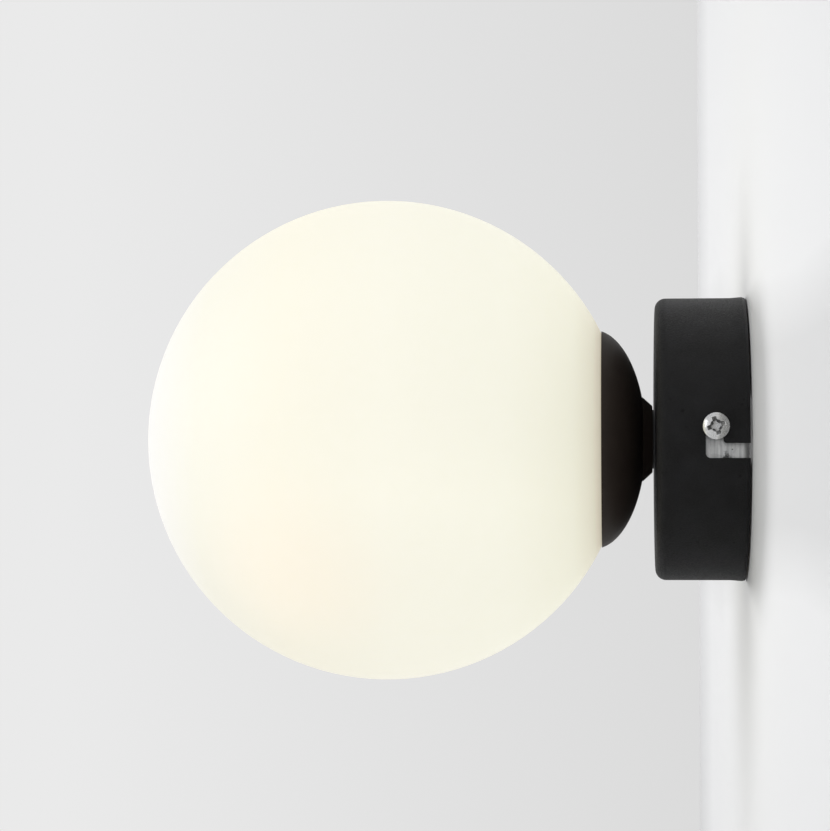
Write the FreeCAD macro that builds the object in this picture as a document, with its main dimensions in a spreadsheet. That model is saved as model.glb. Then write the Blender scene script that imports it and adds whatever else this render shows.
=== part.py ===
# Globe wall sconce: a glass globe in a domed cap, on a round canopy that hooks over a wall bracket
# with two bayonet slots and two lock screws.
# Millimetres. The wall is the plane y = 0, the lamp stands out of it along -Y, and +Z is up.
# A depth in this file is a distance out from the wall, so it is minus y.

import FreeCAD, Part
import math
import os
from types import SimpleNamespace

import Sketcher
from FreeCAD import Placement, Rotation, Vector

os.makedirs("parts", exist_ok=True)
doc = FreeCAD.newDocument("globe_wall_sconce")

# Driving dimensions

SIZES = [
    ("globe_radius", 75.0, "outside of the glass sphere"),
    ("glass_wall", 2.8, "glass thickness"),
    ("shoulder_inset", 0.55, "flat shoulder behind the cap's rim"),
    ("shoulder_round", 1.6, "edge between sphere and shoulder"),
    ("neck_radius", 21.2, "outside of the threaded glass neck"),
    ("neck_root_round", 0.8, "inner corner between neck and shoulder"),
    ("thread_gap", 0.3, "radial room between the neck and its fitter"),
    ("shoulder_gap", 0.5, "room between the fitter's mouth and the shoulder"),
    ("rim_gap", 0.3, "room between the cap's rim and the sphere"),
    ("dome_half_depth", 16.26, "half depth of the dome's ellipse"),
    ("dome_cut", 1.15, "how much of the ellipse the flat crown cuts off"),
    ("cap_depth", 12.65, "from the flat crown to the rim"),
    ("cap_rim_radius", 33.8, "outside corner of the cap's rim"),
    ("cap_wall", 1.0, "sheet thickness of the cap"),
    ("collar_length", 3.1, "neck collar along the axis"),
    ("collar_radius_large", 13.2, "collar at the cap"),
    ("collar_radius_small", 10.4, "collar at the canopy"),
    ("collar_edge_round", 0.3, "collar edge at the canopy"),
    ("spacer_thickness", 0.8, "spacer washer between canopy and collar"),
    ("spacer_radius", 9.2, "outside of the spacer washer"),
    ("canopy_radius", 43.9, "outside of the canopy wall"),
    ("canopy_depth", 27.6, "canopy from the wall to its front face"),
    ("canopy_wall", 1.0, "sheet thickness of the canopy"),
    ("canopy_edge_round", 3.3, "outside round of the canopy's front edge"),
    ("rim_flare", 0.28, "how far the canopy's rim is rolled outwards"),
    ("rim_flare_length", 4.5, "length of the flared rim"),
    ("rim_roll", 0.9, "length of the rounded lip at the wall"),
    ("slot_cross_gap", 0.6, "room beside the screw in the leg that runs round the canopy"),
    ("slot_offset", 0.46, "middle of that leg further out than the lock screw"),
    ("slot_entry_gap", 0.2, "room beside the screw in the leg that opens at the rim"),
    ("slot_corner_round", 1.5, "outer corner of the bayonet slot"),
    ("slot_inner_round", 1.0, "inner corner of the bayonet slot"),
    ("unlock_turn", 9.4, "degrees the canopy turns from locked to free"),
    ("lock_screw_depth", 10.14, "lock screw axis out from the wall"),
    ("lock_screw_radius", 2.0, "M4 thread outside radius"),
    ("lock_screw_length", 8.0, "under the head"),
    ("lock_head_radius", 4.0, "pan head"),
    ("lock_head_height", 3.1, "pan head"),
    ("lock_head_side", 1.3, "straight side of the pan head"),
    ("lock_head_gap", 0.1, "room between the head and the canopy wall"),
    ("recess_span", 4.4, "cross recess from wing to wing"),
    ("recess_wing", 1.1, "width of a wing"),
    ("recess_depth", 1.7, "depth of the cross recess"),
    ("recess_turn", 15.0, "degrees the cross recess stands turned"),
    ("snug_gap", 0.05, "radial room round screws, nuts' threads and inserts"),
    ("ear_gap", 0.7, "room between the ears' edges and the canopy"),
    ("ear_past_screw", 9.86, "ear tip beyond the lock screw's axis"),
    ("ear_width", 20.0, "width of the bracket strip and its ears"),
    ("ear_corner_round", 4.0, "corners of the ear tips"),
    ("bracket_sheet", 1.5, "sheet thickness of the bracket"),
    ("bracket_bend", 2.0, "outside bend radius"),
    ("bracket_bend_inner", 0.5, "inside bend radius"),
    ("ear_boss_radius", 3.4, "drawn collar round a tapped ear hole"),
    ("ear_boss_length", 2.2, "drawn collar inwards from the ear"),
    ("wall_slot_spacing", 52.0, "wall screw slots, centre to centre"),
    ("wall_slot_length", 14.0, "wall screw slot from end to end"),
    ("wall_slot_radius", 2.25, "half width of a wall screw slot"),
    ("cable_hole_radius", 5.5, "hole for the house cable"),
    ("bracket_earth_reach", 12.5, "earth screw on the bracket from the axis"),
    ("bracket_earth_boss_radius", 3.2, "drawn collar of the earth hole"),
    ("bracket_earth_boss_height", 1.5, "height of that collar"),
    ("nipple_radius", 5.0, "M10 tube"),
    ("nipple_bore", 4.0, "radius of the tube's bore"),
    ("nipple_hole_gap", 0.2, "radial room of the holes round the tube"),
    ("nipple_tail", 1.0, "tube past each nut"),
    ("plate_thickness", 1.2, "terminal plate and lampholder bracket"),
    ("lock_washer_thickness", 0.8, "serrated washers under the nuts"),
    ("lock_washer_radius", 8.5, "serrated washers"),
    ("lock_washer_teeth", 10.0, "teeth round a serrated washer"),
    ("nut_height", 3.0, "hexagon nuts on the tube"),
    ("nut_flats", 14.0, "width across the flats"),
    ("bush_bore", 3.3, "insulating bush, bore radius"),
    ("bush_flange_radius", 6.0, "insulating bush, flange"),
    ("bush_flange", 1.2, "insulating bush, flange thickness"),
    ("bush_sleeve", 4.4, "insulating bush, length in the tube"),
    ("fitter_wall", 1.0, "sheet thickness of the globe fitter"),
    ("fitter_seat_radius", 12.2, "flat seat of the fitter on the cap"),
    ("fitter_cap_gap", 0.5, "room between the fitter's floor and the cap"),
    ("fitter_floor_width", 5.5, "flat floor of the fitter under the seal"),
    ("seal_thickness", 0.8, "silicone seal ring"),
    ("arm_reach", 10.4, "lampholder bracket arms from the axis"),
    ("arm_width", 14.0, "width of the lampholder bracket"),
    ("arm_height", 11.7, "lampholder bracket from its seat to its feet"),
    ("foot_length", 5.6, "feet that carry the lampholder, outwards from the arms"),
    ("holder_half_length", 16.5, "lampholder body"),
    ("holder_half_width", 8.5, "lampholder body"),
    ("holder_corner_round", 6.0, "lampholder body"),
    ("holder_base_height", 5.0, "ceramic base"),
    ("holder_top_height", 10.0, "ceramic top up to its screw ledge"),
    ("holder_nose_height", 6.0, "nose with the pin slots"),
    ("holder_nose_half_length", 7.0, "nose with the pin slots"),
    ("holder_nose_half_width", 5.0, "nose with the pin slots"),
    ("holder_screw_reach", 13.0, "lampholder screws from the axis"),
    ("holder_screw_radius", 1.5, "M3 thread outside radius"),
    ("holder_screw_head_radius", 2.7, "M3 cheese head"),
    ("holder_screw_head", 2.0, "M3 cheese head height"),
    ("pin_reach", 4.5, "lamp pins from the axis"),
    ("pin_loop_half_width", 1.3, "looped wire pin"),
    ("pin_wire", 0.9, "thickness of the pin wire"),
    ("pin_length", 10.0, "pins below the lamp's base"),
    ("pin_slot_gap", 0.4, "room round a pin in its slot"),
    ("clip_strip", 0.35, "thickness of a contact clip's strip"),
    ("clip_gap", 0.15, "room between a pin and its clip"),
    ("clip_width", 3.2, "width of a contact clip"),
    ("clip_length", 8.6, "contact clip along the axis"),
    ("lamp_gap", 0.3, "room between the lamp's base and the lampholder"),
    ("lamp_base_radius", 7.6, "lamp base"),
    ("lamp_base_height", 9.5, "lamp base"),
    ("lamp_cover_radius", 8.2, "opal cover of the lamp"),
    ("lamp_cover_height", 37.0, "opal cover of the lamp"),
    ("lamp_cover_wall", 0.9, "opal cover of the lamp"),
    ("lamp_core_gap", 1.5, "room between the lamp's core and its cover"),
    ("block_half_length", 15.5, "terminal block"),
    ("block_width", 16.0, "terminal block along the wires"),
    ("block_drop", 17.0, "terminal block's near face below the axis"),
    ("block_base_height", 11.4, "terminal block up to its ledge"),
    ("block_tower_height", 4.6, "screw towers above the ledge"),
    ("block_tower_half_width", 2.9, "screw towers"),
    ("pole_pitch", 10.0, "terminal poles, centre to centre"),
    ("pole_height", 8.0, "wire bores above the plate"),
    ("insert_radius", 2.3, "brass inserts"),
    ("insert_bore", 1.5, "brass inserts, bore radius"),
    ("insert_length", 14.0, "brass inserts"),
    ("clamp_spacing", 8.0, "clamp screws of one pole, centre to centre"),
    ("clamp_radius", 1.4, "clamp screws"),
    ("clamp_lift", 0.5, "clamp screw heads above the inserts"),
    ("clamp_head_radius", 1.9, "clamp screws"),
    ("clamp_head_height", 1.5, "clamp screws"),
    ("block_screw_radius", 1.25, "fixing screw of the terminal block"),
    ("block_screw_head_radius", 2.1, "fixing screw of the terminal block"),
    ("block_screw_head", 1.6, "fixing screw of the terminal block"),
    ("tip_clear", 0.2, "room between a screw's tip and what lies behind it"),
    ("earth_reach", 16.0, "earth screw on the plate, sideways"),
    ("earth_rise", 8.0, "earth screw on the plate, upwards"),
    ("earth_screw_radius", 2.0, "M4 earth screws"),
    ("earth_head_radius", 3.9, "M4 earth screws"),
    ("earth_head_height", 2.4, "M4 earth screws"),
    ("earth_washer_thickness", 0.8, "earth clamp washer"),
    ("earth_washer_radius", 4.4, "earth clamp washer"),
    ("tag_thickness", 0.8, "ring tag on the earth lead"),
    ("tag_radius", 3.8, "ring tag on the earth lead"),
    ("tag_barrel_radius", 1.6, "crimped barrel of the ring tag"),
    ("tag_barrel_length", 5.0, "crimped barrel of the ring tag"),
    ("lead_radius", 1.0, "insulated leads"),
    ("core_radius", 0.5, "bare end of a lead under the clamp screws"),
    ("core_bend", 1.2, "length in which the bare end drops to the floor of the bore"),
    ("lead_spread", 2.0, "leads from the axis inside the tube"),
    ("lead_straight", 0.8, "lead below the lampholder before it bends"),
    ("lead_turn_depth", 12.6, "depth at which the leads turn down to the block"),
]

sheet = doc.addObject("Spreadsheet::Sheet", "Sizes")
for row, (alias, value, meaning) in enumerate(SIZES, start=1):
    sheet.set("A%d" % row, alias)
    sheet.set("B%d" % row, str(value))
    sheet.set("C%d" % row, meaning)
    sheet.setAlias("B%d" % row, alias)
doc.recompute()


# A size knows its value and the expression that gives it, so that every sketch and feature is bound
# to the sheet by the same sum that places it.

class Size:
    def __init__(self, value, text):
        self.value = float(value)
        self.text = text

    def joined(self, sign, other, value):
        return Size(value, "(%s %s %s)" % (self.text, sign, other.text))

    def __add__(self, other):
        other = sized(other)
        return self.joined("+", other, self.value + other.value)

    def __sub__(self, other):
        other = sized(other)
        return self.joined("-", other, self.value - other.value)

    def __mul__(self, other):
        other = sized(other)
        return self.joined("*", other, self.value * other.value)

    def __truediv__(self, other):
        other = sized(other)
        return self.joined("/", other, self.value / other.value)

    def __radd__(self, other):
        return sized(other) + self

    def __rsub__(self, other):
        return sized(other) - self

    def __rmul__(self, other):
        return sized(other) * self

    def __neg__(self):
        return Size(-self.value, "(-1 * %s)" % self.text)


def sized(number):
    return number if isinstance(number, Size) else Size(number, repr(float(number)))


def root(size):
    return Size(math.sqrt(size.value), "sqrt(%s)" % size.text)


def sine(size):
    return Size(math.sin(math.radians(size.value)), "sin(%s)" % size.text)


size = SimpleNamespace(**{alias: Size(value, "Sizes." + alias) for alias, value, meaning in SIZES})


def bind(thing, path, length):
    thing.setExpression(path, sized(length).text)


# Sketches

def origin_part(body, role):
    return [part for part in body.Origin.OriginFeatures if part.Role == role][0]


def new_body(label):
    body = doc.addObject("PartDesign::Body", label)
    body.Label = label
    return body


def new_sketch(body, name, role, offset=None):
    sketch = body.newObject("Sketcher::SketchObject", name)
    sketch.AttachmentSupport = [(origin_part(body, role), "")]
    sketch.MapMode = "FlatFace"
    if offset is not None:
        sketch.AttachmentOffset = Placement(Vector(0, 0, sized(offset).value), Rotation())
        bind(sketch, "AttachmentOffset.Base.z", offset)
    return sketch


def pin(sketch, geometry, end, x, y):
    for kind, length in (("DistanceX", sized(x)), ("DistanceY", sized(y))):
        index = sketch.addConstraint(Sketcher.Constraint(kind, -1, 1, geometry, end, length.value))
        bind(sketch, "Constraints[%d]" % index, length)


def corner(x, y, rounded=None, arc=None):
    # rounded: radius of a round at this corner, between two straight lines.
    # arc: (radius, side) of an arc from here to the next corner, side +1 with its centre on the left.
    return SimpleNamespace(x=sized(x), y=sized(y), rounded=rounded, arc=arc)


def arc_between(start, end, radius, side):
    middle = (start + end) * 0.5
    chord = end - start
    reach = math.sqrt(max(radius ** 2 - chord.Length ** 2 / 4, 0))
    normal = Vector(-chord.y, chord.x, 0).normalize()
    centre = middle + normal * (reach * side)
    first, last = (start, end) if side > 0 else (end, start)
    angles = [math.atan2(p.y - centre.y, p.x - centre.x) for p in (first, last)]
    circle = Part.Circle(centre, Vector(0, 0, 1), radius)
    return Part.ArcOfCircle(circle, angles[0], angles[1])


def cut_back(point, towards, radius, half_turn):
    return point + (towards - point).normalize() * (radius * math.tan(half_turn))


def draw(sketch, corners):
    """Draws one closed outline and fixes each corner by its sizes."""
    points = [Vector(c.x.value, c.y.value, 0) for c in corners]
    count = len(corners)
    starts, ends, rounds = list(points), list(points), {}
    for i, c in enumerate(corners):
        if c.rounded is not None:
            before = (points[i] - points[i - 1]).normalize()
            after = (points[(i + 1) % count] - points[i]).normalize()
            half_turn = before.getAngle(after) / 2
            ends[i] = cut_back(points[i], points[i - 1], c.rounded.value, half_turn)
            starts[i] = cut_back(points[i], points[(i + 1) % count], c.rounded.value, half_turn)
            side = 1 if before.cross(after).z > 0 else -1
            rounds[i] = (arc_between(ends[i], starts[i], c.rounded.value, side), side)
    edges = []
    for i, c in enumerate(corners):
        following = (i + 1) % count
        if c.arc is None:
            shape, side = Part.LineSegment(starts[i], ends[following]), 1
        else:
            side = c.arc[1]
            shape = arc_between(points[i], points[following], c.arc[0].value, side)
        edges.append((sketch.addGeometry(shape, False), side))
    for i, c in enumerate(corners):
        here, side = edges[i]
        past, past_side = edges[i - 1]
        here_end = 1 if side > 0 else 2
        past_end = 2 if past_side > 0 else 1
        if c.rounded is None:
            sketch.addConstraint(Sketcher.Constraint("Coincident", past, past_end, here, here_end))
            pin(sketch, here, here_end, c.x, c.y)
        else:
            shape, round_side = rounds[i]
            index = sketch.addGeometry(shape, False)
            first, last = (1, 2) if round_side > 0 else (2, 1)
            sketch.addConstraint(Sketcher.Constraint("Tangent", past, past_end, index, first))
            sketch.addConstraint(Sketcher.Constraint("Tangent", index, last, here, here_end))
            radius = sketch.addConstraint(Sketcher.Constraint("Radius", index, c.rounded.value))
            bind(sketch, "Constraints[%d]" % radius, c.rounded)
            mark = sketch.addGeometry(Part.Point(points[i]), True)
            pin(sketch, mark, 1, c.x, c.y)
            sketch.addConstraint(Sketcher.Constraint("PointOnObject", mark, 1, past))
            sketch.addConstraint(Sketcher.Constraint("PointOnObject", mark, 1, here))
    for i, c in enumerate(corners):
        if c.arc is not None:
            index = sketch.addConstraint(Sketcher.Constraint("Radius", edges[i][0], c.arc[0].value))
            bind(sketch, "Constraints[%d]" % index, c.arc[0])


def draw_circle(sketch, x, y, radius):
    radius = sized(radius)
    centre = Vector(sized(x).value, sized(y).value, 0)
    index = sketch.addGeometry(Part.Circle(centre, Vector(0, 0, 1), radius.value), False)
    pin(sketch, index, 3, x, y)
    constraint = sketch.addConstraint(Sketcher.Constraint("Radius", index, radius.value))
    bind(sketch, "Constraints[%d]" % constraint, radius)


def box_corners(x_low, x_high, y_low, y_high, rounded=None):
    return [corner(x_low, y_low, rounded), corner(x_high, y_low, rounded),
            corner(x_high, y_high, rounded), corner(x_low, y_high, rounded)]


def draw_slot(sketch, x, y, half_length, radius):
    """A round-ended slot along the sketch's own X, centred on (x, y)."""
    reach = half_length - radius
    arcs = []
    for side in (-1, 1):
        centre = Vector((x + reach * side).value, sized(y).value, 0)
        turn = math.pi / 2 * side
        circle = Part.Circle(centre, Vector(0, 0, 1), radius.value)
        arc = Part.ArcOfCircle(circle, -turn, -turn + math.pi)
        arcs.append(sketch.addGeometry(arc, False))
    left, right = arcs
    lines = []
    for side in (-1, 1):
        start = Vector((x - reach).value, (y + radius * side).value, 0)
        end = Vector((x + reach).value, (y + radius * side).value, 0)
        lines.append(sketch.addGeometry(Part.LineSegment(start, end), False))
    low_line, high_line = lines
    for line, end, arc, arc_end in ((low_line, 2, right, 1), (high_line, 2, right, 2),
                                    (high_line, 1, left, 1), (low_line, 1, left, 2)):
        sketch.addConstraint(Sketcher.Constraint("Tangent", line, end, arc, arc_end))
    sketch.addConstraint(Sketcher.Constraint("Equal", left, right))
    index = sketch.addConstraint(Sketcher.Constraint("Radius", left, radius.value))
    bind(sketch, "Constraints[%d]" % index, radius)
    pin(sketch, left, 3, x - reach, y)
    pin(sketch, right, 3, x + reach, y)


# Features

def turned(label, corners):
    """A body turned about the Y axis from one outline of radius against minus depth."""
    body = new_body(label)
    sketch = new_sketch(body, label + "_outline", "XY_Plane")
    draw(sketch, corners)
    return turn(body, sketch)


def turn(body, sketch):
    feature = body.newObject("PartDesign::Revolution", body.Name + "_turned")
    feature.Profile = sketch
    feature.ReferenceAxis = (sketch, ["V_Axis"])
    feature.Angle = 360
    return body


def pad(body, sketch, length, symmetric=False, backwards=False):
    feature = body.newObject("PartDesign::Pad", sketch.Name + "_pad")
    feature.Profile = sketch
    bind(feature, "Length", length)
    feature.Midplane = symmetric
    feature.Reversed = backwards
    return feature


def pocket(body, sketch, length=None, symmetric=False, backwards=False):
    feature = body.newObject("PartDesign::Pocket", sketch.Name + "_pocket")
    feature.Profile = sketch
    if length is None:
        feature.Type = "ThroughAll"
    else:
        bind(feature, "Length", length)
    feature.Midplane = symmetric
    feature.Reversed = backwards
    return feature


def plate(label, depth, thickness, outlines, circles=()):
    """A flat piece parallel to the wall, from a depth outwards, with holes as inner outlines."""
    body = new_body(label)
    sketch = new_sketch(body, label + "_outline", "XZ_Plane", depth)
    for corners in outlines:
        draw(sketch, corners)
    for x, z, radius in circles:
        draw_circle(sketch, x, z, radius)
    pad(body, sketch, thickness)
    return body


def ring(label, depth, thickness, inner, outer):
    near, far = -depth, -(depth + thickness)
    return turned(label, [corner(inner, near), corner(outer, near), corner(outer, far),
                          corner(inner, far)])


def edges_where(feature, wanted):
    names = []
    for number, edge in enumerate(feature.Shape.Edges, start=1):
        if wanted(edge):
            names.append("Edge%d" % number)
    return names


def round_edges(body, radius, wanted):
    doc.recompute()
    base = body.Tip
    feature = body.newObject("PartDesign::Fillet", body.Name + "_rounded")
    feature.Base = (base, edges_where(base, wanted))
    bind(feature, "Radius", radius)
    return feature


def polar_copies(body, features, count):
    pattern = body.newObject("PartDesign::PolarPattern", body.Name + "_copies")
    pattern.Originals = features
    pattern.Axis = (origin_part(body, "Y_Axis"), [""])
    pattern.Angle = 360
    pattern.Occurrences = count
    body.Tip = pattern
    return pattern


def place(thing, x=None, y=None, z=None, rotation=None):
    lengths = {"x": x, "y": y, "z": z}
    base = Vector(*[sized(length).value if length is not None else 0 for length in lengths.values()])
    thing.Placement = Placement(base, rotation or Rotation())
    for name, length in lengths.items():
        if length is not None:
            bind(thing, "Placement.Base." + name, length)


def screw(label, radius, length, head_radius, head_height):
    """A cheese head screw along -Y: its head's seat is at its own origin, the shank behind it."""
    point = radius * 0.25
    return turned(label, [corner(0, length), corner(radius - point, length),
                          corner(radius, length - point), corner(radius, 0),
                          corner(head_radius, 0), corner(head_radius, -head_height),
                          corner(0, -head_height)])


# Canopy: a drawn cup, open at the wall, with two bayonet slots

nipple_hole = size.nipple_radius + size.nipple_hole_gap


def make_canopy():
    outer, inner = size.canopy_radius, size.canopy_radius - size.canopy_wall
    front, back = -size.canopy_depth, -(size.canopy_depth - size.canopy_wall)
    flare_start = -size.rim_flare_length
    body = turned("canopy", [
        corner(nipple_hole, front),
        corner(nipple_hole, back),
        corner(inner, back, size.canopy_edge_round - size.canopy_wall),
        corner(inner, flare_start),
        corner(inner + size.rim_flare, 0),
        corner(outer + size.rim_flare * 0.2, 0),
        corner(outer + size.rim_flare, -size.rim_roll),
        corner(outer, flare_start),
        corner(outer, front, size.canopy_edge_round),
    ])
    half_travel = size.canopy_radius * sine(size.unlock_turn / 2)
    cross_half = size.lock_screw_radius + size.slot_cross_gap
    entry_half = size.lock_screw_radius + size.slot_entry_gap
    near = -(size.lock_screw_depth + size.slot_offset - cross_half)
    far = -(size.lock_screw_depth + size.slot_offset + cross_half)
    blind_end = half_travel + cross_half
    entry_low = -(half_travel + entry_half)
    entry_high = -(half_travel - entry_half)
    past_rim = size.rim_roll
    sketch = new_sketch(body, "bayonet_slot", "YZ_Plane")
    draw(sketch, [
        corner(past_rim, entry_low),
        corner(past_rim, entry_high),
        corner(near, entry_high, size.slot_inner_round),
        corner(near, blind_end, size.slot_corner_round),
        corner(far, blind_end, size.slot_corner_round),
        corner(far, entry_low, size.slot_corner_round),
    ])
    cut = pocket(body, sketch, backwards=True)
    polar_copies(body, [cut], 2)
    # The slots are drawn about the X axis, then the cup is turned so that their blind ends meet it.
    body.Placement = Placement(Vector(0, 0, 0), Vector(0, 1, 0), size.unlock_turn.value / 2)
    bind(body, "Placement.Rotation.Angle", size.unlock_turn / 2)
    return body


# Wall bracket: a galvanised strip with two bent ears, tapped for the lock screws

ear_circle = size.canopy_radius - size.canopy_wall - size.ear_gap
ear_reach = root(ear_circle * ear_circle - size.ear_width * size.ear_width / 4)
ear_height = size.lock_screw_depth + size.ear_past_screw
earth_hole = size.earth_screw_radius + size.snug_gap


def make_bracket():
    body = new_body("mounting_bracket")
    out, sheet_in = ear_reach, ear_reach - size.bracket_sheet
    tip, floor = -ear_height, -size.bracket_sheet
    strip = new_sketch(body, "bent_strip", "XY_Plane")
    draw(strip, [
        corner(-out, tip), corner(-out, 0, size.bracket_bend), corner(out, 0, size.bracket_bend),
        corner(out, tip), corner(sheet_in, tip), corner(sheet_in, floor, size.bracket_bend_inner),
        corner(-sheet_in, floor, size.bracket_bend_inner), corner(-sheet_in, tip),
    ])
    pad(body, strip, size.ear_width, symmetric=True)
    ear_boss = new_sketch(body, "ear_collar", "YZ_Plane", sheet_in - size.ear_boss_length)
    draw_circle(ear_boss, -size.lock_screw_depth, 0, size.ear_boss_radius)
    collar = pad(body, ear_boss, size.ear_boss_length + size.bracket_sheet / 2)
    polar_copies(body, [collar], 2)
    earth_boss = new_sketch(body, "earth_collar", "XZ_Plane", size.bracket_sheet / 2)
    draw_circle(earth_boss, -size.bracket_earth_reach, 0, size.bracket_earth_boss_radius)
    pad(body, earth_boss, size.bracket_sheet / 2 + size.bracket_earth_boss_height)
    ear_holes = new_sketch(body, "ear_holes", "YZ_Plane")
    draw_circle(ear_holes, -size.lock_screw_depth, 0, size.lock_screw_radius + size.snug_gap)
    pocket(body, ear_holes, symmetric=True)
    floor_holes = new_sketch(body, "floor_holes", "XZ_Plane")
    for side in (-1, 1):
        draw_slot(floor_holes, side * size.wall_slot_spacing / 2, sized(0),
                  size.wall_slot_length / 2, size.wall_slot_radius)
    draw_circle(floor_holes, 0, 0, size.cable_hole_radius)
    draw_circle(floor_holes, -size.bracket_earth_reach, 0, earth_hole)
    pocket(body, floor_holes, backwards=True)

    def at_ear_tip(edge):
        middle = edge.CenterOfMass
        along_x = abs(edge.BoundBox.XLength - size.bracket_sheet.value) < 0.01
        side = abs(abs(middle.z) - size.ear_width.value / 2) < 0.01
        return along_x and side and abs(middle.y + ear_height.value) < 0.01

    round_edges(body, size.ear_corner_round, at_ear_tip)
    return body


def make_bracket_earth():
    washer_depth = size.bracket_sheet + size.bracket_earth_boss_height
    washer = ring("earth_washer", washer_depth, size.earth_washer_thickness, earth_hole,
                  size.earth_washer_radius)
    place(washer, x=-size.bracket_earth_reach)
    seat = washer_depth + size.earth_washer_thickness
    earth_screw = screw("bracket_earth_screw", size.earth_screw_radius, seat - size.tip_clear,
                        size.earth_head_radius, size.earth_head_height)
    place(earth_screw, x=-size.bracket_earth_reach, y=-seat)
    return [washer, earth_screw]


# Lock screws: pan heads with a cross recess, through the slots into the ears

def make_lock_screw(label, direction):
    seat = size.canopy_radius + size.lock_head_gap
    tip = seat - size.lock_screw_length
    chamfer = size.lock_screw_radius * 0.2
    radius = size.lock_screw_radius
    dome = size.lock_head_height - size.lock_head_side
    head = size.lock_head_radius
    dome_radius = (head * head + dome * dome) / (2 * dome)
    body = turned(label, [
        corner(0, -tip), corner(radius - chamfer, -tip), corner(radius, -(tip + chamfer)),
        corner(radius, -seat), corner(head, -seat),
        corner(head, -(seat + size.lock_head_side), arc=(dome_radius, -1)),
        corner(0, -(seat + size.lock_head_height)),
    ])
    half, wing = size.recess_span / 2, size.recess_wing / 2
    cross = new_sketch(body, label + "_recess", "XZ_Plane", seat + size.lock_head_height)
    draw(cross, [
        corner(wing, wing), corner(wing, half), corner(-wing, half), corner(-wing, wing),
        corner(-half, wing), corner(-half, -wing), corner(-wing, -wing), corner(-wing, -half),
        corner(wing, -half), corner(wing, -wing), corner(half, -wing), corner(half, wing),
    ])
    pocket(body, cross, size.recess_depth)
    lying = Rotation(Vector(0, 0, 1), 90 * direction)
    place(body, y=-size.lock_screw_depth,
          rotation=lying.multiply(Rotation(Vector(0, 1, 0), -size.recess_turn.value)))
    return body


# Spacer, collar and cap. The stack along the axis sets where the globe's centre is.

spacer_depth = size.canopy_depth
collar_depth = spacer_depth + size.spacer_thickness
cap_seat = collar_depth + size.collar_length
rim_depth = cap_seat + size.cap_depth
rim_radius = size.cap_rim_radius
globe_centre = rim_depth + size.rim_gap + root(size.globe_radius * size.globe_radius
                                               - rim_radius * rim_radius)
dome_middle = cap_seat - size.dome_cut + size.dome_half_depth
dome_rise = (dome_middle - rim_depth) / size.dome_half_depth
dome_radius = rim_radius / root(1 - dome_rise * dome_rise)
dome_inner_radius = dome_radius - size.cap_wall
dome_inner_half_depth = size.dome_half_depth - size.cap_wall


def make_collar():
    return turned("neck_collar", [
        corner(nipple_hole, -collar_depth),
        corner(nipple_hole, -cap_seat),
        corner(size.collar_radius_large, -cap_seat),
        corner(size.collar_radius_small, -collar_depth, size.collar_edge_round),
    ])


def sphere_depth(radius):
    return globe_centre - root(size.globe_radius * size.globe_radius - radius * radius)


def ellipse_radius(depth, half_width, half_depth):
    rise = (dome_middle - depth) / half_depth
    return half_width * root(1 - rise * rise)


def ellipse_depth(radius, half_width, half_depth):
    part = radius / half_width
    return dome_middle - half_depth * root(1 - part * part)


def draw_ellipse_arc(sketch, half_width, half_depth, inner_end, outer_end):
    """Part of an ellipse about the axis, between two (radius, depth) ends on it."""
    centre = Vector(0, -dome_middle.value, 0)
    wide, deep = half_width.value, half_depth.value
    ellipse = Part.Ellipse(centre + Vector(wide, 0, 0), centre + Vector(0, deep, 0), centre)
    angles = [math.atan2((dome_middle.value - depth.value) / deep, radius.value / wide)
              for radius, depth in (outer_end, inner_end)]
    index = sketch.addGeometry(Part.ArcOfEllipse(ellipse, angles[0], angles[1]), False)
    sketch.exposeInternalGeometry(index)
    major, minor = index + 1, index + 2
    sketch.addConstraint(Sketcher.Constraint("Horizontal", major))
    for line, half in ((major, half_width), (minor, half_depth)):
        constraint = sketch.addConstraint(Sketcher.Constraint("Distance", line, half.value * 2))
        bind(sketch, "Constraints[%d]" % constraint, half * 2)
    pin(sketch, index, 3, 0, -dome_middle)
    return index


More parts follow.
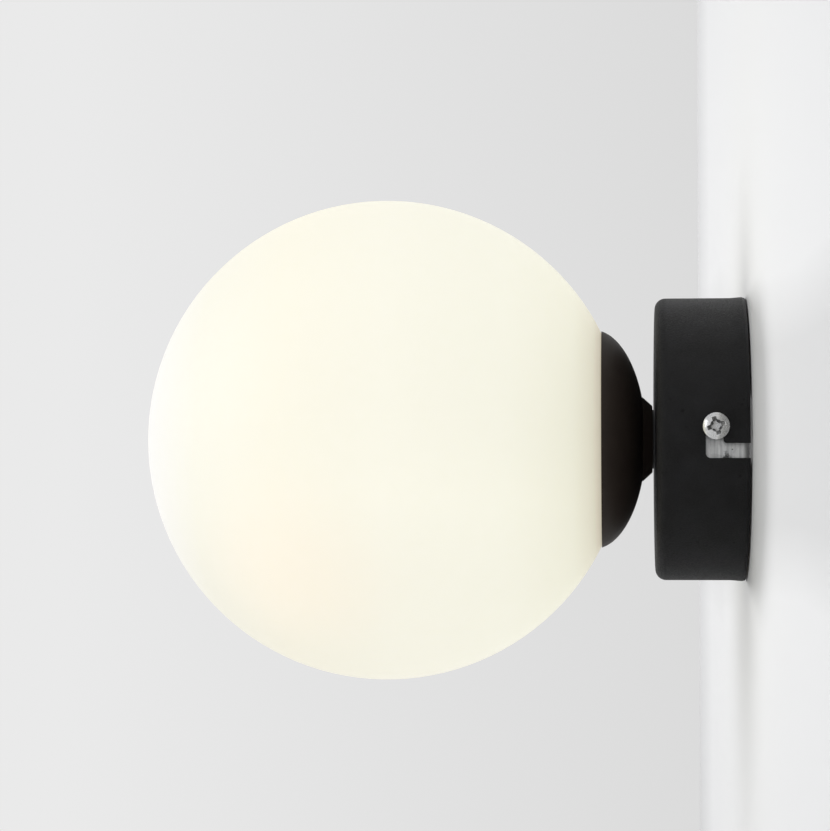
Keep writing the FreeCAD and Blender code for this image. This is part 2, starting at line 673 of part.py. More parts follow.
def make_cap():
    """A spun dome: two ellipses a sheet apart, a flat crown, and a rim trimmed along the sphere."""
    body = new_body("cap")
    sketch = new_sketch(body, "cap_outline", "XY_Plane")
    crown_in = cap_seat + size.cap_wall
    # The rim's inner corner stands as far off the sphere as its outer corner.
    rim_in_depth = sphere_depth(rim_radius - size.cap_wall * 1.3) - size.rim_gap
    rim_in_radius = ellipse_radius(rim_in_depth, dome_inner_radius, dome_inner_half_depth)
    crown_out_radius = ellipse_radius(cap_seat, dome_radius, size.dome_half_depth)
    crown_in_radius = ellipse_radius(crown_in, dome_inner_radius, dome_inner_half_depth)
    outer = draw_ellipse_arc(sketch, dome_radius, size.dome_half_depth,
                             (crown_out_radius, cap_seat), (rim_radius, rim_depth))
    inner = draw_ellipse_arc(sketch, dome_inner_radius, dome_inner_half_depth,
                             (crown_in_radius, crown_in), (rim_in_radius, rim_in_depth))
    corners = [(crown_out_radius, cap_seat), (nipple_hole, cap_seat), (nipple_hole, crown_in),
               (crown_in_radius, crown_in), (rim_in_radius, rim_in_depth), (rim_radius, rim_depth)]
    points = [Vector(radius.value, -depth.value, 0) for radius, depth in corners]
    crown_top, bore, crown_under, rim = [
        sketch.addGeometry(Part.LineSegment(points[start], points[end]), False)
        for start, end in ((0, 1), (1, 2), (2, 3), (4, 5))]
    joins = [(outer, 2, crown_top, 1), (crown_top, 2, bore, 1), (bore, 2, crown_under, 1),
             (crown_under, 2, inner, 2), (inner, 1, rim, 1), (rim, 2, outer, 1)]
    for join in joins:
        sketch.addConstraint(Sketcher.Constraint("Coincident", *join))
    for line in (crown_top, crown_under):
        sketch.addConstraint(Sketcher.Constraint("Horizontal", line))
    pin(sketch, bore, 1, nipple_hole, -cap_seat)
    pin(sketch, bore, 2, nipple_hole, -crown_in)
    for end, radius in ((1, rim_in_radius), (2, rim_radius)):
        index = sketch.addConstraint(Sketcher.Constraint("DistanceX", -1, 1, rim, end, radius.value))
        bind(sketch, "Constraints[%d]" % index, radius)
    return turn(body, sketch)


# Globe: opal glass, a sphere cut off by a flat shoulder behind, with a short threaded neck

fitter_inner = size.neck_radius + size.thread_gap
fitter_outer = fitter_inner + size.fitter_wall
fitter_floor = (ellipse_depth(fitter_outer, dome_inner_radius, dome_inner_half_depth)
                + size.fitter_cap_gap)
fitter_floor_front = fitter_floor + size.fitter_wall
neck_end = fitter_floor_front + size.seal_thickness
neck_bore = size.neck_radius - size.glass_wall
shoulder_depth = rim_depth - size.shoulder_inset


def make_globe():
    outer, inner = size.globe_radius, size.globe_radius - size.glass_wall
    centre = globe_centre
    shoulder_in = shoulder_depth + size.glass_wall
    to_shoulder, to_inside = centre - shoulder_depth, centre - shoulder_in
    shoulder_radius = root(outer * outer - to_shoulder * to_shoulder)
    inside_radius = root(inner * inner - to_inside * to_inside)
    body = turned("globe", [
        corner(neck_bore, -neck_end),
        corner(neck_bore, -shoulder_in),
        corner(inside_radius, -shoulder_in, arc=(inner, -1)),
        corner(0, -(centre + inner)),
        corner(0, -(centre + outer), arc=(outer, 1)),
        corner(shoulder_radius, -shoulder_depth),
        corner(size.neck_radius, -shoulder_depth, size.neck_root_round),
        corner(size.neck_radius, -neck_end),
    ])

    def at_shoulder(edge):
        box = edge.BoundBox
        flat = box.YLength < 0.01 and abs(box.YMax + shoulder_depth.value) < 0.01
        return flat and abs(box.XLength / 2 - shoulder_radius.value) < 0.1

    round_edges(body, size.shoulder_round, at_shoulder)
    return body


def make_fitter():
    """A pressed cup on the cap's flat crown. Its mouth takes the neck of the globe."""
    seat = cap_seat + size.cap_wall
    mouth = shoulder_depth - size.shoulder_gap
    floor_radius = fitter_outer - size.fitter_floor_width
    return turned("globe_fitter", [
        corner(nipple_hole, -seat),
        corner(nipple_hole, -(seat + size.fitter_wall)),
        corner(size.fitter_seat_radius, -(seat + size.fitter_wall)),
        corner(floor_radius, -fitter_floor_front),
        corner(fitter_inner, -fitter_floor_front),
        corner(fitter_inner, -mouth),
        corner(fitter_outer, -mouth),
        corner(fitter_outer, -fitter_floor, size.fitter_wall),
        corner(floor_radius, -fitter_floor),
        corner(size.fitter_seat_radius, -seat),
    ])


def make_seal():
    return ring("globe_seal", fitter_floor_front, size.seal_thickness, neck_bore,
                size.neck_radius)


# Threaded tube with its nuts, washers and bush

plate_seat = size.canopy_depth - size.canopy_wall
plate_face = plate_seat - size.plate_thickness
rear_nut_face = plate_face - size.lock_washer_thickness - size.nut_height
tube_rear = rear_nut_face - size.nipple_tail
bracket_seat = cap_seat + size.cap_wall + size.fitter_wall
front_washer_depth = bracket_seat + size.plate_thickness
front_nut_depth = front_washer_depth + size.lock_washer_thickness
tube_front = front_nut_depth + size.nut_height + size.nipple_tail


def make_tube():
    return ring("threaded_tube", tube_rear, tube_front - tube_rear, size.nipple_bore,
                size.nipple_radius)


def make_bush():
    sleeve = size.nipple_bore
    return turned("insulating_bush", [
        corner(size.bush_bore, -(tube_rear - size.bush_flange)),
        corner(size.bush_bore, -(tube_rear + size.bush_sleeve)),
        corner(sleeve, -(tube_rear + size.bush_sleeve)),
        corner(sleeve, -tube_rear),
        corner(size.bush_flange_radius, -tube_rear),
        corner(size.bush_flange_radius, -(tube_rear - size.bush_flange), size.bush_flange / 3),
    ])


def make_nut(label, depth):
    half = size.nut_flats / 2
    point = half / root(sized(0.75))
    return plate(label, depth, size.nut_height, [[
        corner(half, point / 2), corner(0, point), corner(-half, point / 2),
        corner(-half, -point / 2), corner(0, -point), corner(half, -point / 2),
    ]], [(0, 0, size.nipple_radius + size.snug_gap)])


def make_lock_washer(label, depth):
    body = new_body(label)
    disc = new_sketch(body, label + "_disc", "XZ_Plane", depth)
    draw_circle(disc, 0, 0, size.lock_washer_radius)
    draw_circle(disc, 0, 0, nipple_hole)
    pad(body, disc, size.lock_washer_thickness)
    notch = new_sketch(body, label + "_notch", "XZ_Plane", depth)
    deep, half = size.lock_washer_radius * 0.84, size.lock_washer_radius * 0.1
    past_edge = size.lock_washer_radius * 1.1
    draw(notch, [corner(-half, deep), corner(half, deep), corner(half * 1.6, past_edge),
                 corner(-half * 1.6, past_edge)])
    cut = pocket(body, notch, backwards=True)
    polar_copies(body, [cut], int(size.lock_washer_teeth.value))
    return body


def make_spacer():
    return ring("spacer_washer", spacer_depth, size.spacer_thickness, nipple_hole, size.spacer_radius)


# Terminal plate: under the rear nut, with the terminal block below and the earth screw at the side

block_near = -size.block_drop
block_far = -(size.block_drop + size.block_width)
block_middle = -(size.block_drop + size.block_width / 2)
block_screw_hole = size.block_screw_radius + size.snug_gap
plate_half = size.nut_flats / 2 + size.plate_thickness


def make_plate():
    lug_high = size.earth_rise + size.earth_washer_radius + size.plate_thickness
    lug_low = size.earth_rise - size.earth_washer_radius - size.plate_thickness
    lug_end = size.earth_reach + size.earth_washer_radius + size.plate_thickness
    return plate("terminal_plate", plate_face, size.plate_thickness, [[
        corner(-plate_half, block_far, size.plate_thickness),
        corner(plate_half, block_far, size.plate_thickness),
        corner(plate_half, lug_low),
        corner(lug_end, lug_low, size.plate_thickness),
        corner(lug_end, lug_high, size.plate_thickness),
        corner(-plate_half, lug_high, size.plate_thickness),
    ]], [(0, 0, nipple_hole), (size.earth_reach, size.earth_rise, earth_hole),
         (-size.pole_pitch / 2, block_middle, block_screw_hole)])


# Terminal block: a nylon body with three brass poles, each with two clamp screws

POLES = (-1, 0, 1)
pole_depth = plate_face - size.pole_height
ledge_depth = plate_face - size.block_base_height
tower_depth = ledge_depth - size.block_tower_height


def make_block():
    body = new_body("terminal_block")
    base = new_sketch(body, "block_base", "XZ_Plane", ledge_depth)
    draw(base, box_corners(-size.block_half_length, size.block_half_length, block_far, block_near,
                           size.plate_thickness))
    pad(body, base, size.block_base_height)
    towers = new_sketch(body, "block_towers", "XZ_Plane", tower_depth)
    half = size.block_tower_half_width
    for pole in POLES:
        middle = size.pole_pitch * pole
        draw(towers, box_corners(middle - half, middle + half, block_far + half / 4,
                                 block_near - half / 4, half / 3))
    pad(body, towers, size.block_tower_height + size.plate_thickness)
    bores = new_sketch(body, "block_bores", "XY_Plane")
    for pole in POLES:
        draw_circle(bores, size.pole_pitch * pole, -pole_depth, size.insert_radius + size.snug_gap)
    pocket(body, bores)
    wells = new_sketch(body, "block_wells", "XZ_Plane", tower_depth)
    for pole in POLES:
        for side in (-1, 1):
            draw_circle(wells, size.pole_pitch * pole, block_middle + side * size.clamp_spacing / 2,
                        size.insert_radius * 0.9)
    pocket(body, wells, size.block_tower_height + size.plate_thickness * 2, backwards=True)
    fixing = new_sketch(body, "block_fixing", "XZ_Plane")
    draw_circle(fixing, -size.pole_pitch / 2, block_middle, block_screw_hole)
    pocket(body, fixing, symmetric=True)
    return body


clamp_places = [block_middle + side * size.clamp_spacing / 2 for side in (-1, 1)]
core_depth = pole_depth + size.insert_bore - size.core_radius


def group(label, things):
    compound = doc.addObject("Part::Compound", label)
    compound.Label = label
    compound.Links = things
    return compound


def make_insert(number, pole):
    body = new_body("brass_insert_%d" % number)
    tube = new_sketch(body, body.Name + "_tube", "XY_Plane", block_middle - size.insert_length / 2)
    for radius in (size.insert_radius, size.insert_bore):
        draw_circle(tube, 0, -pole_depth, radius)
    pad(body, tube, size.insert_length)
    holes = new_sketch(body, body.Name + "_holes", "XZ_Plane", pole_depth)
    for place_z in clamp_places:
        draw_circle(holes, 0, place_z, size.clamp_radius + size.snug_gap)
    pocket(body, holes)
    place(body, x=size.pole_pitch * pole)
    return body


def make_inserts():
    return group("brass_inserts", [make_insert(number, pole) for number, pole in enumerate(POLES, 1)])


FACING_WALL = Rotation(Vector(0, 0, 1), 180)


def make_clamp_screws():
    seat = pole_depth - size.insert_radius - size.clamp_lift
    length = core_depth - size.core_radius - seat
    screws = []
    for pole in POLES:
        for place_z in clamp_places:
            one = screw("clamp_screw_%d" % (len(screws) + 1), size.clamp_radius, length,
                        size.clamp_head_radius, size.clamp_head_height)
            place(one, x=size.pole_pitch * pole, y=-seat, z=place_z, rotation=FACING_WALL)
            screws.append(one)
    return group("clamp_screws", screws)


def make_block_screw():
    one = screw("block_screw", size.block_screw_radius, plate_seat - size.tip_clear - ledge_depth,
                size.block_screw_head_radius, size.block_screw_head)
    place(one, x=-size.pole_pitch / 2, y=-ledge_depth, z=block_middle, rotation=FACING_WALL)
    return one


# Earth point on the terminal plate: ring tag and screw

tag_face = plate_face - size.tag_thickness
barrel_depth = plate_face - size.tag_barrel_radius
barrel_high = size.earth_rise - size.earth_head_radius - size.tip_clear
barrel_low = barrel_high - size.tag_barrel_length


def make_tag():
    body = new_body("earth_tag")
    eye = new_sketch(body, "tag_eye", "XZ_Plane", tag_face)
    draw_circle(eye, size.earth_reach, size.earth_rise, size.tag_radius)
    draw_circle(eye, size.earth_reach, size.earth_rise, earth_hole)
    pad(body, eye, size.tag_thickness)
    tongue = new_sketch(body, "tag_tongue", "XZ_Plane", tag_face)
    half = size.tag_barrel_radius
    draw(tongue, box_corners(size.earth_reach - half, size.earth_reach + half, barrel_high - half / 2,
                             size.earth_rise - (earth_hole + size.tag_radius) / 2))
    pad(body, tongue, size.tag_thickness)
    barrel = new_sketch(body, "tag_barrel", "XY_Plane", barrel_low)
    draw_circle(barrel, size.earth_reach, -barrel_depth, size.tag_barrel_radius)
    pad(body, barrel, size.tag_barrel_length)
    bore = new_sketch(body, "tag_bore", "XY_Plane", barrel_low)
    draw_circle(bore, size.earth_reach, -barrel_depth, size.lead_radius)
    pocket(body, bore, size.tag_barrel_length * 0.8, backwards=True)
    return body


def make_plate_earth_screw():
    one = screw("plate_earth_screw", size.earth_screw_radius, plate_seat - size.tip_clear - tag_face,
                size.earth_head_radius, size.earth_head_height)
    place(one, x=size.earth_reach, y=-tag_face, z=size.earth_rise, rotation=FACING_WALL)
    return one


# Lampholder: a bent bracket under the front nut, a ceramic base and top, and two contact clips

holder_seat = bracket_seat + size.arm_height
top_seat = holder_seat + size.holder_base_height
ledge = top_seat + size.holder_top_height
nose_face = ledge + size.holder_nose_height
pin_half = size.pin_wire / 2


def make_holder_bracket():
    body = new_body("holder_bracket")
    out, sheet_in = size.arm_reach, size.arm_reach - size.plate_thickness
    foot_end = out + size.foot_length
    low, floor = -bracket_seat, -(bracket_seat + size.plate_thickness)
    top, under = -holder_seat, -(holder_seat - size.plate_thickness)
    bend, bend_in = size.plate_thickness * 1.5, size.plate_thickness / 2
    profile = new_sketch(body, "holder_strip", "XY_Plane")
    draw(profile, [
        corner(foot_end, top), corner(sheet_in, top, bend), corner(sheet_in, floor, bend_in),
        corner(-sheet_in, floor, bend_in), corner(-sheet_in, top, bend), corner(-foot_end, top),
        corner(-foot_end, under), corner(-out, under, bend_in), corner(-out, low, bend),
        corner(out, low, bend), corner(out, under, bend_in), corner(foot_end, under),
    ])
    pad(body, profile, size.arm_width, symmetric=True)
    hole = new_sketch(body, "holder_tube_hole", "XZ_Plane")
    draw_circle(hole, 0, 0, nipple_hole)
    pocket(body, hole, backwards=True)
    feet = new_sketch(body, "holder_foot_holes", "XZ_Plane", holder_seat)
    for side in (-1, 1):
        draw_circle(feet, side * size.holder_screw_reach, 0,
                    size.holder_screw_radius + size.snug_gap)
    pocket(body, feet, size.plate_thickness * 2)
    return body


def holder_outline():
    return box_corners(-size.holder_half_length, size.holder_half_length,
                       -size.holder_half_width, size.holder_half_width, size.holder_corner_round)


def screw_holes():
    return [(side * size.holder_screw_reach, 0, size.holder_screw_radius + size.nipple_hole_gap)
            for side in (-1, 1)]


def make_holder_base():
    wire_holes = [(side * size.pin_reach, 0, size.lead_radius + size.nipple_hole_gap)
                  for side in (-1, 1)]
    return plate("holder_base", holder_seat, size.holder_base_height, [holder_outline()],
                 wire_holes + screw_holes())


def make_holder_top():
    body = new_body("holder_top")
    main = new_sketch(body, "top_outline", "XZ_Plane", top_seat)
    draw(main, holder_outline())
    for x, z, radius in screw_holes():
        draw_circle(main, x, z, radius)
    pad(body, main, size.holder_top_height)
    nose = new_sketch(body, "top_nose", "XZ_Plane", ledge)
    draw(nose, box_corners(-size.holder_nose_half_length, size.holder_nose_half_length,
                           -size.holder_nose_half_width, size.holder_nose_half_width,
                           size.holder_nose_half_width * 0.8))
    pad(body, nose, size.holder_nose_height)
    slots = new_sketch(body, "top_pin_slots", "XZ_Plane", top_seat)
    half_x = size.pin_loop_half_width + size.pin_slot_gap
    half_z = pin_half + size.pin_slot_gap
    for side in (-1, 1):
        middle = side * size.pin_reach
        draw(slots, box_corners(middle - half_x, middle + half_x, -half_z, half_z))
    pocket(body, slots, backwards=True)
    rooms = new_sketch(body, "top_clip_rooms", "XZ_Plane", top_seat)
    half_x = size.clip_width / 2 + size.clip_gap
    half_z = pin_half + size.clip_gap * 2 + size.clip_strip
    for side in (-1, 1):
        middle = side * size.pin_reach
        draw(rooms, box_corners(middle - half_x, middle + half_x, -half_z, half_z))
    pocket(body, rooms, size.clip_length + size.clip_gap, backwards=True)
    return body


def make_clip(number, side):
    body = new_body("contact_clip_%d" % number)
    inner, outer = pin_half + size.clip_gap, pin_half + size.clip_gap + size.clip_strip
    low, high = -top_seat, -(top_seat + size.clip_length)
    profile = new_sketch(body, body.Name + "_strip", "YZ_Plane")
    draw(profile, [
        corner(low, -outer), corner(low, outer), corner(high, outer), corner(high, inner),
        corner(low - size.clip_strip, inner), corner(low - size.clip_strip, -inner),
        corner(high, -inner), corner(high, -outer),
    ])
    pad(body, profile, size.clip_width, symmetric=True)
    place(body, x=side * size.pin_reach)
    return body


def make_clips():
    return group("contact_clips", [make_clip(1, -1), make_clip(2, 1)])


def make_holder_screws():
    length = size.holder_top_height + size.holder_base_height + size.plate_thickness * 1.5
    screws = []
    for number, side in enumerate((-1, 1), 1):
        one = screw("holder_screw_%d" % number, size.holder_screw_radius, length,
                    size.holder_screw_head_radius, size.holder_screw_head)
        place(one, x=side * size.holder_screw_reach, y=-ledge)
        screws.append(one)
    return group("holder_screws", screws)


# Lamp: a two-pin capsule lamp that pulls straight out

lamp_seat = nose_face + size.lamp_gap
cover_seat = lamp_seat + size.lamp_base_height
cover_end = cover_seat + size.lamp_cover_height


def make_lamp_pin(number, side):
    body = new_body("lamp_pin_%d" % number)
    loop = new_sketch(body, body.Name + "_loop", "XY_Plane")
    half = size.pin_loop_half_width
    hollow = half - size.pin_wire
    tip, end = -(lamp_seat - size.pin_length), -lamp_seat
    draw(loop, [corner(-half, end), corner(half, end), corner(half, tip, half * 0.9),
                corner(-half, tip, half * 0.9)])
    draw(loop, [corner(-hollow, end + size.pin_wire), corner(hollow, end + size.pin_wire),
                corner(hollow, tip - size.pin_wire, hollow * 0.9),
                corner(-hollow, tip - size.pin_wire, hollow * 0.9)])
    pad(body, loop, size.pin_wire, symmetric=True)
    place(body, x=side * size.pin_reach)
    return body


def make_lamp():
    pins = group("lamp_pins", [make_lamp_pin(1, -1), make_lamp_pin(2, 1)])
    base_radius, cover = size.lamp_base_radius, size.lamp_cover_radius
    wall = size.lamp_cover_wall
    step = size.lamp_base_height / 3
    base = turned("lamp_base", [
        corner(0, -lamp_seat), corner(base_radius - step / 2, -lamp_seat, step / 4),
        corner(base_radius, -(lamp_seat + step)), corner(base_radius, -cover_seat),
        corner(0, -cover_seat),
    ])
    core_radius = cover - wall - size.lamp_core_gap
    core_end = cover_end - cover - size.lamp_core_gap
    core = turned("lamp_core", [
        corner(0, -cover_seat), corner(core_radius, -cover_seat), corner(core_radius, -core_end),
        corner(0, -core_end),
    ])
    inner = cover - wall
    shell = turned("lamp_cover", [
        corner(inner, -cover_seat), corner(inner, -(cover_end - cover), arc=(inner, -1)),
        corner(0, -(cover_end - wall)), corner(0, -cover_end, arc=(cover, 1)),
        corner(cover, -(cover_end - cover)), corner(cover, -cover_seat),
    ])
    return [pins, base, core, shell]


# Leads: from the contact clips through the tube to the terminal block, and from the tag to the block

def rounded_path(points):
    """Straight runs joined by tangent arcs, each as large as its two runs allow."""
    edges, at = [], points[0]
    for before, here, after in zip(points, points[1:], points[2:]):
        half_turn = (here - before).getAngle(after - here) / 2
        setback = 0.45 * min((here - before).Length, (after - here).Length)
        back, onward = (before - here).normalize(), (after - here).normalize()
        start, end = here + back * setback, here + onward * setback
        radius = setback / math.tan(half_turn)
        middle = here + (back + onward).normalize() * (radius / math.cos(half_turn) - radius)
        edges.append(Part.LineSegment(at, start).toShape())
        edges.append(Part.Arc(start, middle, end).toShape())
        print("lead bend radius %.1f" % radius)
        at = end
    edges.append(Part.LineSegment(at, points[-1]).toShape())
    return Part.Wire(edges)


def round_wire(places, radius):
    """A round wire along the places, and how its volume compares with section times length."""
    points = [Vector(sized(x).value, -sized(depth).value, sized(z).value) for x, depth, z in places]
    path = rounded_path(points)
    section = Part.Wire(Part.makeCircle(radius.value, points[0], points[1] - points[0]))
    shell = Part.BRepOffsetAPI.MakePipeShell(path)
    shell.add(section)
    shell.build()
    shell.makeSolid()
    solid = shell.shape()
    expected = path.Length * math.pi * radius.value ** 2
    print("wire length %.1f, volume over expected %.4f" % (path.Length, solid.Volume / expected))
    return solid


def make_lead(label, places, pole_x):
    """An insulated lead that enters a bore of the block, and its bare end under the clamp screws."""
    bend_start = lead_end - size.core_radius
    bare_end = [
        (pole_x, pole_depth, lead_end + size.core_radius),
        (pole_x, pole_depth, bend_start),
        (pole_x, core_depth, bend_start - size.core_bend),
        (pole_x, core_depth, block_far + size.lead_radius),
    ]
    whole = places + [(pole_x, pole_depth, lead_end)]
    lead = doc.addObject("Part::Feature", label)
    lead.Label = label
    lead.Shape = round_wire(whole, size.lead_radius).fuse(round_wire(bare_end, size.core_radius))
    return lead


lead_end = block_near - size.core_radius


def make_power_lead(label, side, pole):
    pin_x, tube_x, pole_x = side * size.pin_reach, side * size.lead_spread, size.pole_pitch * pole
    turn_depth = size.lead_turn_depth
    return make_lead(label, [
        (pin_x, top_seat, 0),
        (pin_x, holder_seat - size.lead_straight, 0),
        (tube_x, tube_front - size.lead_straight / 2, 0),
        (tube_x, turn_depth, 0),
        ((tube_x + pole_x) / 2, turn_depth, block_near * 0.56),
        (pole_x, pole_depth, block_near * 0.76),
    ], pole_x)


def make_earth_lead():
    tag_end = barrel_low + size.tag_barrel_length * 0.6
    return make_lead("earth_lead", [
        (size.earth_reach, barrel_depth, tag_end),
        (size.earth_reach, barrel_depth, tag_end + block_near * 0.4),
        (size.pole_pitch, pole_depth, block_near * 0.68),
    ], size.pole_pitch)


pieces = [make_canopy(), make_bracket(), make_cap(), make_collar(), make_spacer()]
pieces += make_bracket_earth()
pieces += [make_lock_screw("lock_screw_right", 1), make_lock_screw("lock_screw_left", -1)]
pieces += [make_globe(), make_fitter(), make_seal(), make_tube(), make_bush()]
pieces += [make_nut("rear_nut", rear_nut_face), make_nut("front_nut", front_nut_depth)]
pieces += [make_lock_washer("rear_lock_washer", plate_face - size.lock_washer_thickness)]
pieces += [make_lock_washer("front_lock_washer", front_washer_depth)]
pieces += [make_plate(), make_block(), make_inserts(), make_clamp_screws(), make_block_screw()]
pieces += [make_tag(), make_plate_earth_screw()]
pieces += [make_holder_bracket(), make_holder_base(), make_holder_top(), make_clips()]
pieces += [make_holder_screws()]
pieces += make_lamp()
pieces += [make_power_lead("live_lead", -1, -1), make_power_lead("neutral_lead", 1, 0)]
pieces += [make_earth_lead()]
doc.recompute()

# Checks, then one file for each piece

failed = [thing.Label for thing in doc.Objects if {"Invalid", "Error"} & set(thing.State)]
failed += [piece.Label for piece in pieces if piece.Shape.isNull() or not piece.Shape.isValid()]
if failed:
    raise RuntimeError("not built: " + ", ".join(failed))
for piece in pieces:
    piece.Shape.exportStep("parts/%s.step" % piece.Label)
    volume, solids = piece.Shape.Volume, len(piece.Shape.Solids)
    print("%-20s %9.1f mm3, solids: %d" % (piece.Label, volume, solids))
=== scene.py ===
# %% [markdown]
# # Globe wall sconce
# A satin glass globe sits in a black domed cap. The cap stands on a short collar in front of a
# round black canopy, and the canopy hooks over a bracket on the wall with two side screws.
# The wall is the plane y = 0, the light stands out of it along -Y, and +Z is up.
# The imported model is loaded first. It is the fixed frame that every new piece is built around.

# %% The frame
import math

import bmesh
import bpy
from mathutils import Matrix, Vector


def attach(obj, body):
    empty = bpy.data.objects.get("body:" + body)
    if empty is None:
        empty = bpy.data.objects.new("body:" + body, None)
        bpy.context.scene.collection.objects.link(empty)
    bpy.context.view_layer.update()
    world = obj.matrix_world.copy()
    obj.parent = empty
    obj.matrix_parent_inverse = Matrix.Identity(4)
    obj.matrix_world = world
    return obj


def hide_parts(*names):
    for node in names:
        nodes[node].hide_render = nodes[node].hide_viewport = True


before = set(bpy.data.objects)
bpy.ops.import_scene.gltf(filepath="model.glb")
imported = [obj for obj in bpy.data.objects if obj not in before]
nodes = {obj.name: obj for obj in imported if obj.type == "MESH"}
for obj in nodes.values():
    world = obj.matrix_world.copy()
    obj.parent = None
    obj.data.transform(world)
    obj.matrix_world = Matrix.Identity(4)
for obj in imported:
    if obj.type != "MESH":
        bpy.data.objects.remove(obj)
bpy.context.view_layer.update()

scene = bpy.context.scene
MM = 0.001

# %% [markdown]
# ## Camera
# The photograph was taken from the light's right side, a little in front of the wall, with the
# lens level with the light. The lock screw was put in about 4.6 degrees above the light's middle.
# In the frame the screws lie flat on X, so the whole camera is turned about the light's axis by
# the same angle, and the wall's far edge with it. `PHOTO_UP` is what is upright in the photograph.

# %% Camera
PHOTO_WIDTH = 830
FOCAL_PIXELS = 2648.6
CAMERA_PLACE = Vector((831.5, -38.6, -5.1)) * MM
CAMERA_TURNS = (0.077, 0.0153, -0.002)
SCREW_RISE = math.radians(4.65)
TURN_TO_FRAME = Matrix.Rotation(SCREW_RISE, 3, "Y")
PHOTO_UP = TURN_TO_FRAME @ Vector((0, 0, 1))


def camera_rotation(yaw, pitch, roll):
    """Looks along -X, turned towards the wall's plane by yaw, up by pitch, then rolled."""
    forward = Vector((-math.cos(yaw) * math.cos(pitch), -math.sin(yaw) * math.cos(pitch),
                      math.sin(pitch)))
    right = forward.cross(Vector((0, 0, 1))).normalized()
    up = right.cross(forward)
    level = Matrix((right, up, -forward)).transposed()
    return level @ Matrix.Rotation(roll, 3, "Z")


camera_data = bpy.data.cameras.new("camera")
camera_data.sensor_width = 36.0
camera_data.lens = FOCAL_PIXELS / PHOTO_WIDTH * camera_data.sensor_width
camera_data.clip_start = 0.01
camera = bpy.data.objects.new("camera", camera_data)
scene.collection.objects.link(camera)
stand = Matrix.Translation(TURN_TO_FRAME @ CAMERA_PLACE)
camera.matrix_world = stand @ (TURN_TO_FRAME @ camera_rotation(*CAMERA_TURNS)).to_4x4()
scene.camera = camera
print("lens in mm: %.1f, camera at %s" % (camera_data.lens, [round(v, 3) for v in camera.location]))

# %% [markdown]
# ## Light
# The picture is lit softly from all round, and the black metal shows it: its flat side stays
# dark, and only the parts that turn away pick up a pale edge. An even world does that, with one
# wide lamp in front and a little above, because the globe is brightest at its front.

# %% World and lamps
scene.view_settings.view_transform = "Standard"
world = bpy.data.worlds.new("studio")
world.use_nodes = True
scene.world = world
sky = world.node_tree.nodes["Background"].inputs
sky["Color"].default_value = (0.97, 0.98, 1.0, 1)
sky["Strength"].default_value = 0.74
AIM = Vector((0, -0.05, 0))


def lamp(name, kind, place, strength, **settings):
    """A lamp that faces AIM, a point inside the cap. It lights the scene but isn't seen itself."""
    data = bpy.data.lights.new(name, kind)
    data.energy = strength
    for setting, value in settings.items():
        setattr(data, setting, value)
    made = bpy.data.objects.new(name, data)
    scene.collection.objects.link(made)
    made.location = place
    made.rotation_euler = (AIM - Vector(place)).to_track_quat("-Z", "Y").to_euler()
    made.visible_camera = False
    print(name, "strength", strength)
    return made


lamp("front", "AREA", (0.25, -1.7, 0.4), 10.0, size=1.2)

# %% [markdown]
# ## Colours and node helpers
# Colours are easiest to judge as a screen shows them, from 0 to 255, while a shader counts light
# in even steps. `paint` turns the first into the second, along the curve that all screens share.
# `shader` gives a new material, and the helpers after it each add one node and give its result.

# %% Helpers for materials
def paint(red, green, blue):
    levels = [value / 255 for value in (red, green, blue)]
    light = [v / 12.92 if v <= 0.04045 else ((v + 0.055) / 1.055) ** 2.4 for v in levels]
    return (*light, 1.0)


def fill(tree, socket, value):
    """Gives a socket a link or a plain value."""
    if isinstance(value, bpy.types.NodeSocket):
        tree.links.new(value, socket)
    else:
        socket.default_value = value


def add(tree, kind, inputs=None, **settings):
    """Adds a node with its settings, and fills its inputs by name or number."""
    node = tree.nodes.new(kind)
    for name, value in settings.items():
        setattr(node, name, value)
    for name, value in (inputs or {}).items():
        fill(tree, node.inputs[name], value)
    return node


def shader(name, **constants):
    """A material, its node tree, its shader's sockets and the position on the piece in metres.
    The frame's own plain material of that name makes room for it."""
    if name in bpy.data.materials:
        bpy.data.materials[name].name = name + "_plain"
    material = bpy.data.materials.new(name)
    material.use_nodes = True
    tree = material.node_tree
    surface = tree.nodes["Principled BSDF"]
    for socket, value in constants.items():
        surface.inputs[socket.replace("_", " ")].default_value = value
    place = add(tree, "ShaderNodeTexCoord").outputs["Object"]
    return material, tree, surface.inputs, place


def mix_colour(tree, factor, low, high):
    """Goes from one colour to another with a mask. The node has sockets for every kind of value:
    0 is the mask, and 6, 7 and the third output are the ones for colours."""
    node = add(tree, "ShaderNodeMix", data_type="RGBA")
    for number, value in ((0, factor), (6, low), (7, high)):
        fill(tree, node.inputs[number], value)
    return node.outputs[2]


def stretch(tree, value, low, high, start=0.0, end=1.0, way="LINEAR"):
    """Stretches a value that runs from start to end so that it runs from low to high."""
    node = add(tree, "ShaderNodeMapRange", {"Value": value, "From Min": start, "From Max": end,
                                            "To Min": low, "To Max": high}, interpolation_type=way)
    return node.outputs["Result"]


def sums(tree, operation, first, second=0.0):
    """One step of arithmetic. An ABSOLUTE or a FRACT needs only the first value."""
    return add(tree, "ShaderNodeMath", {0: first, 1: second}, operation=operation).outputs[0]


def vectors(tree, operation, first, second=(0, 0, 0)):
    """One step with vectors. Some of them give a plain number."""
    node = add(tree, "ShaderNodeVectorMath", {0: first, 1: second}, operation=operation)
    plain = operation in ("DISTANCE", "DOT_PRODUCT", "LENGTH")
    return node.outputs["Value" if plain else "Vector"]


def coordinate(tree, place, axis):
    """How far along X, Y or Z a place is, in metres."""
    return add(tree, "ShaderNodeSeparateXYZ", {"Vector": place}).outputs[axis]


def relief(tree, height, depth):
    """A bump of that depth in metres."""
    return add(tree, "ShaderNodeBump", {"Height": height, "Distance": depth}).outputs["Normal"]


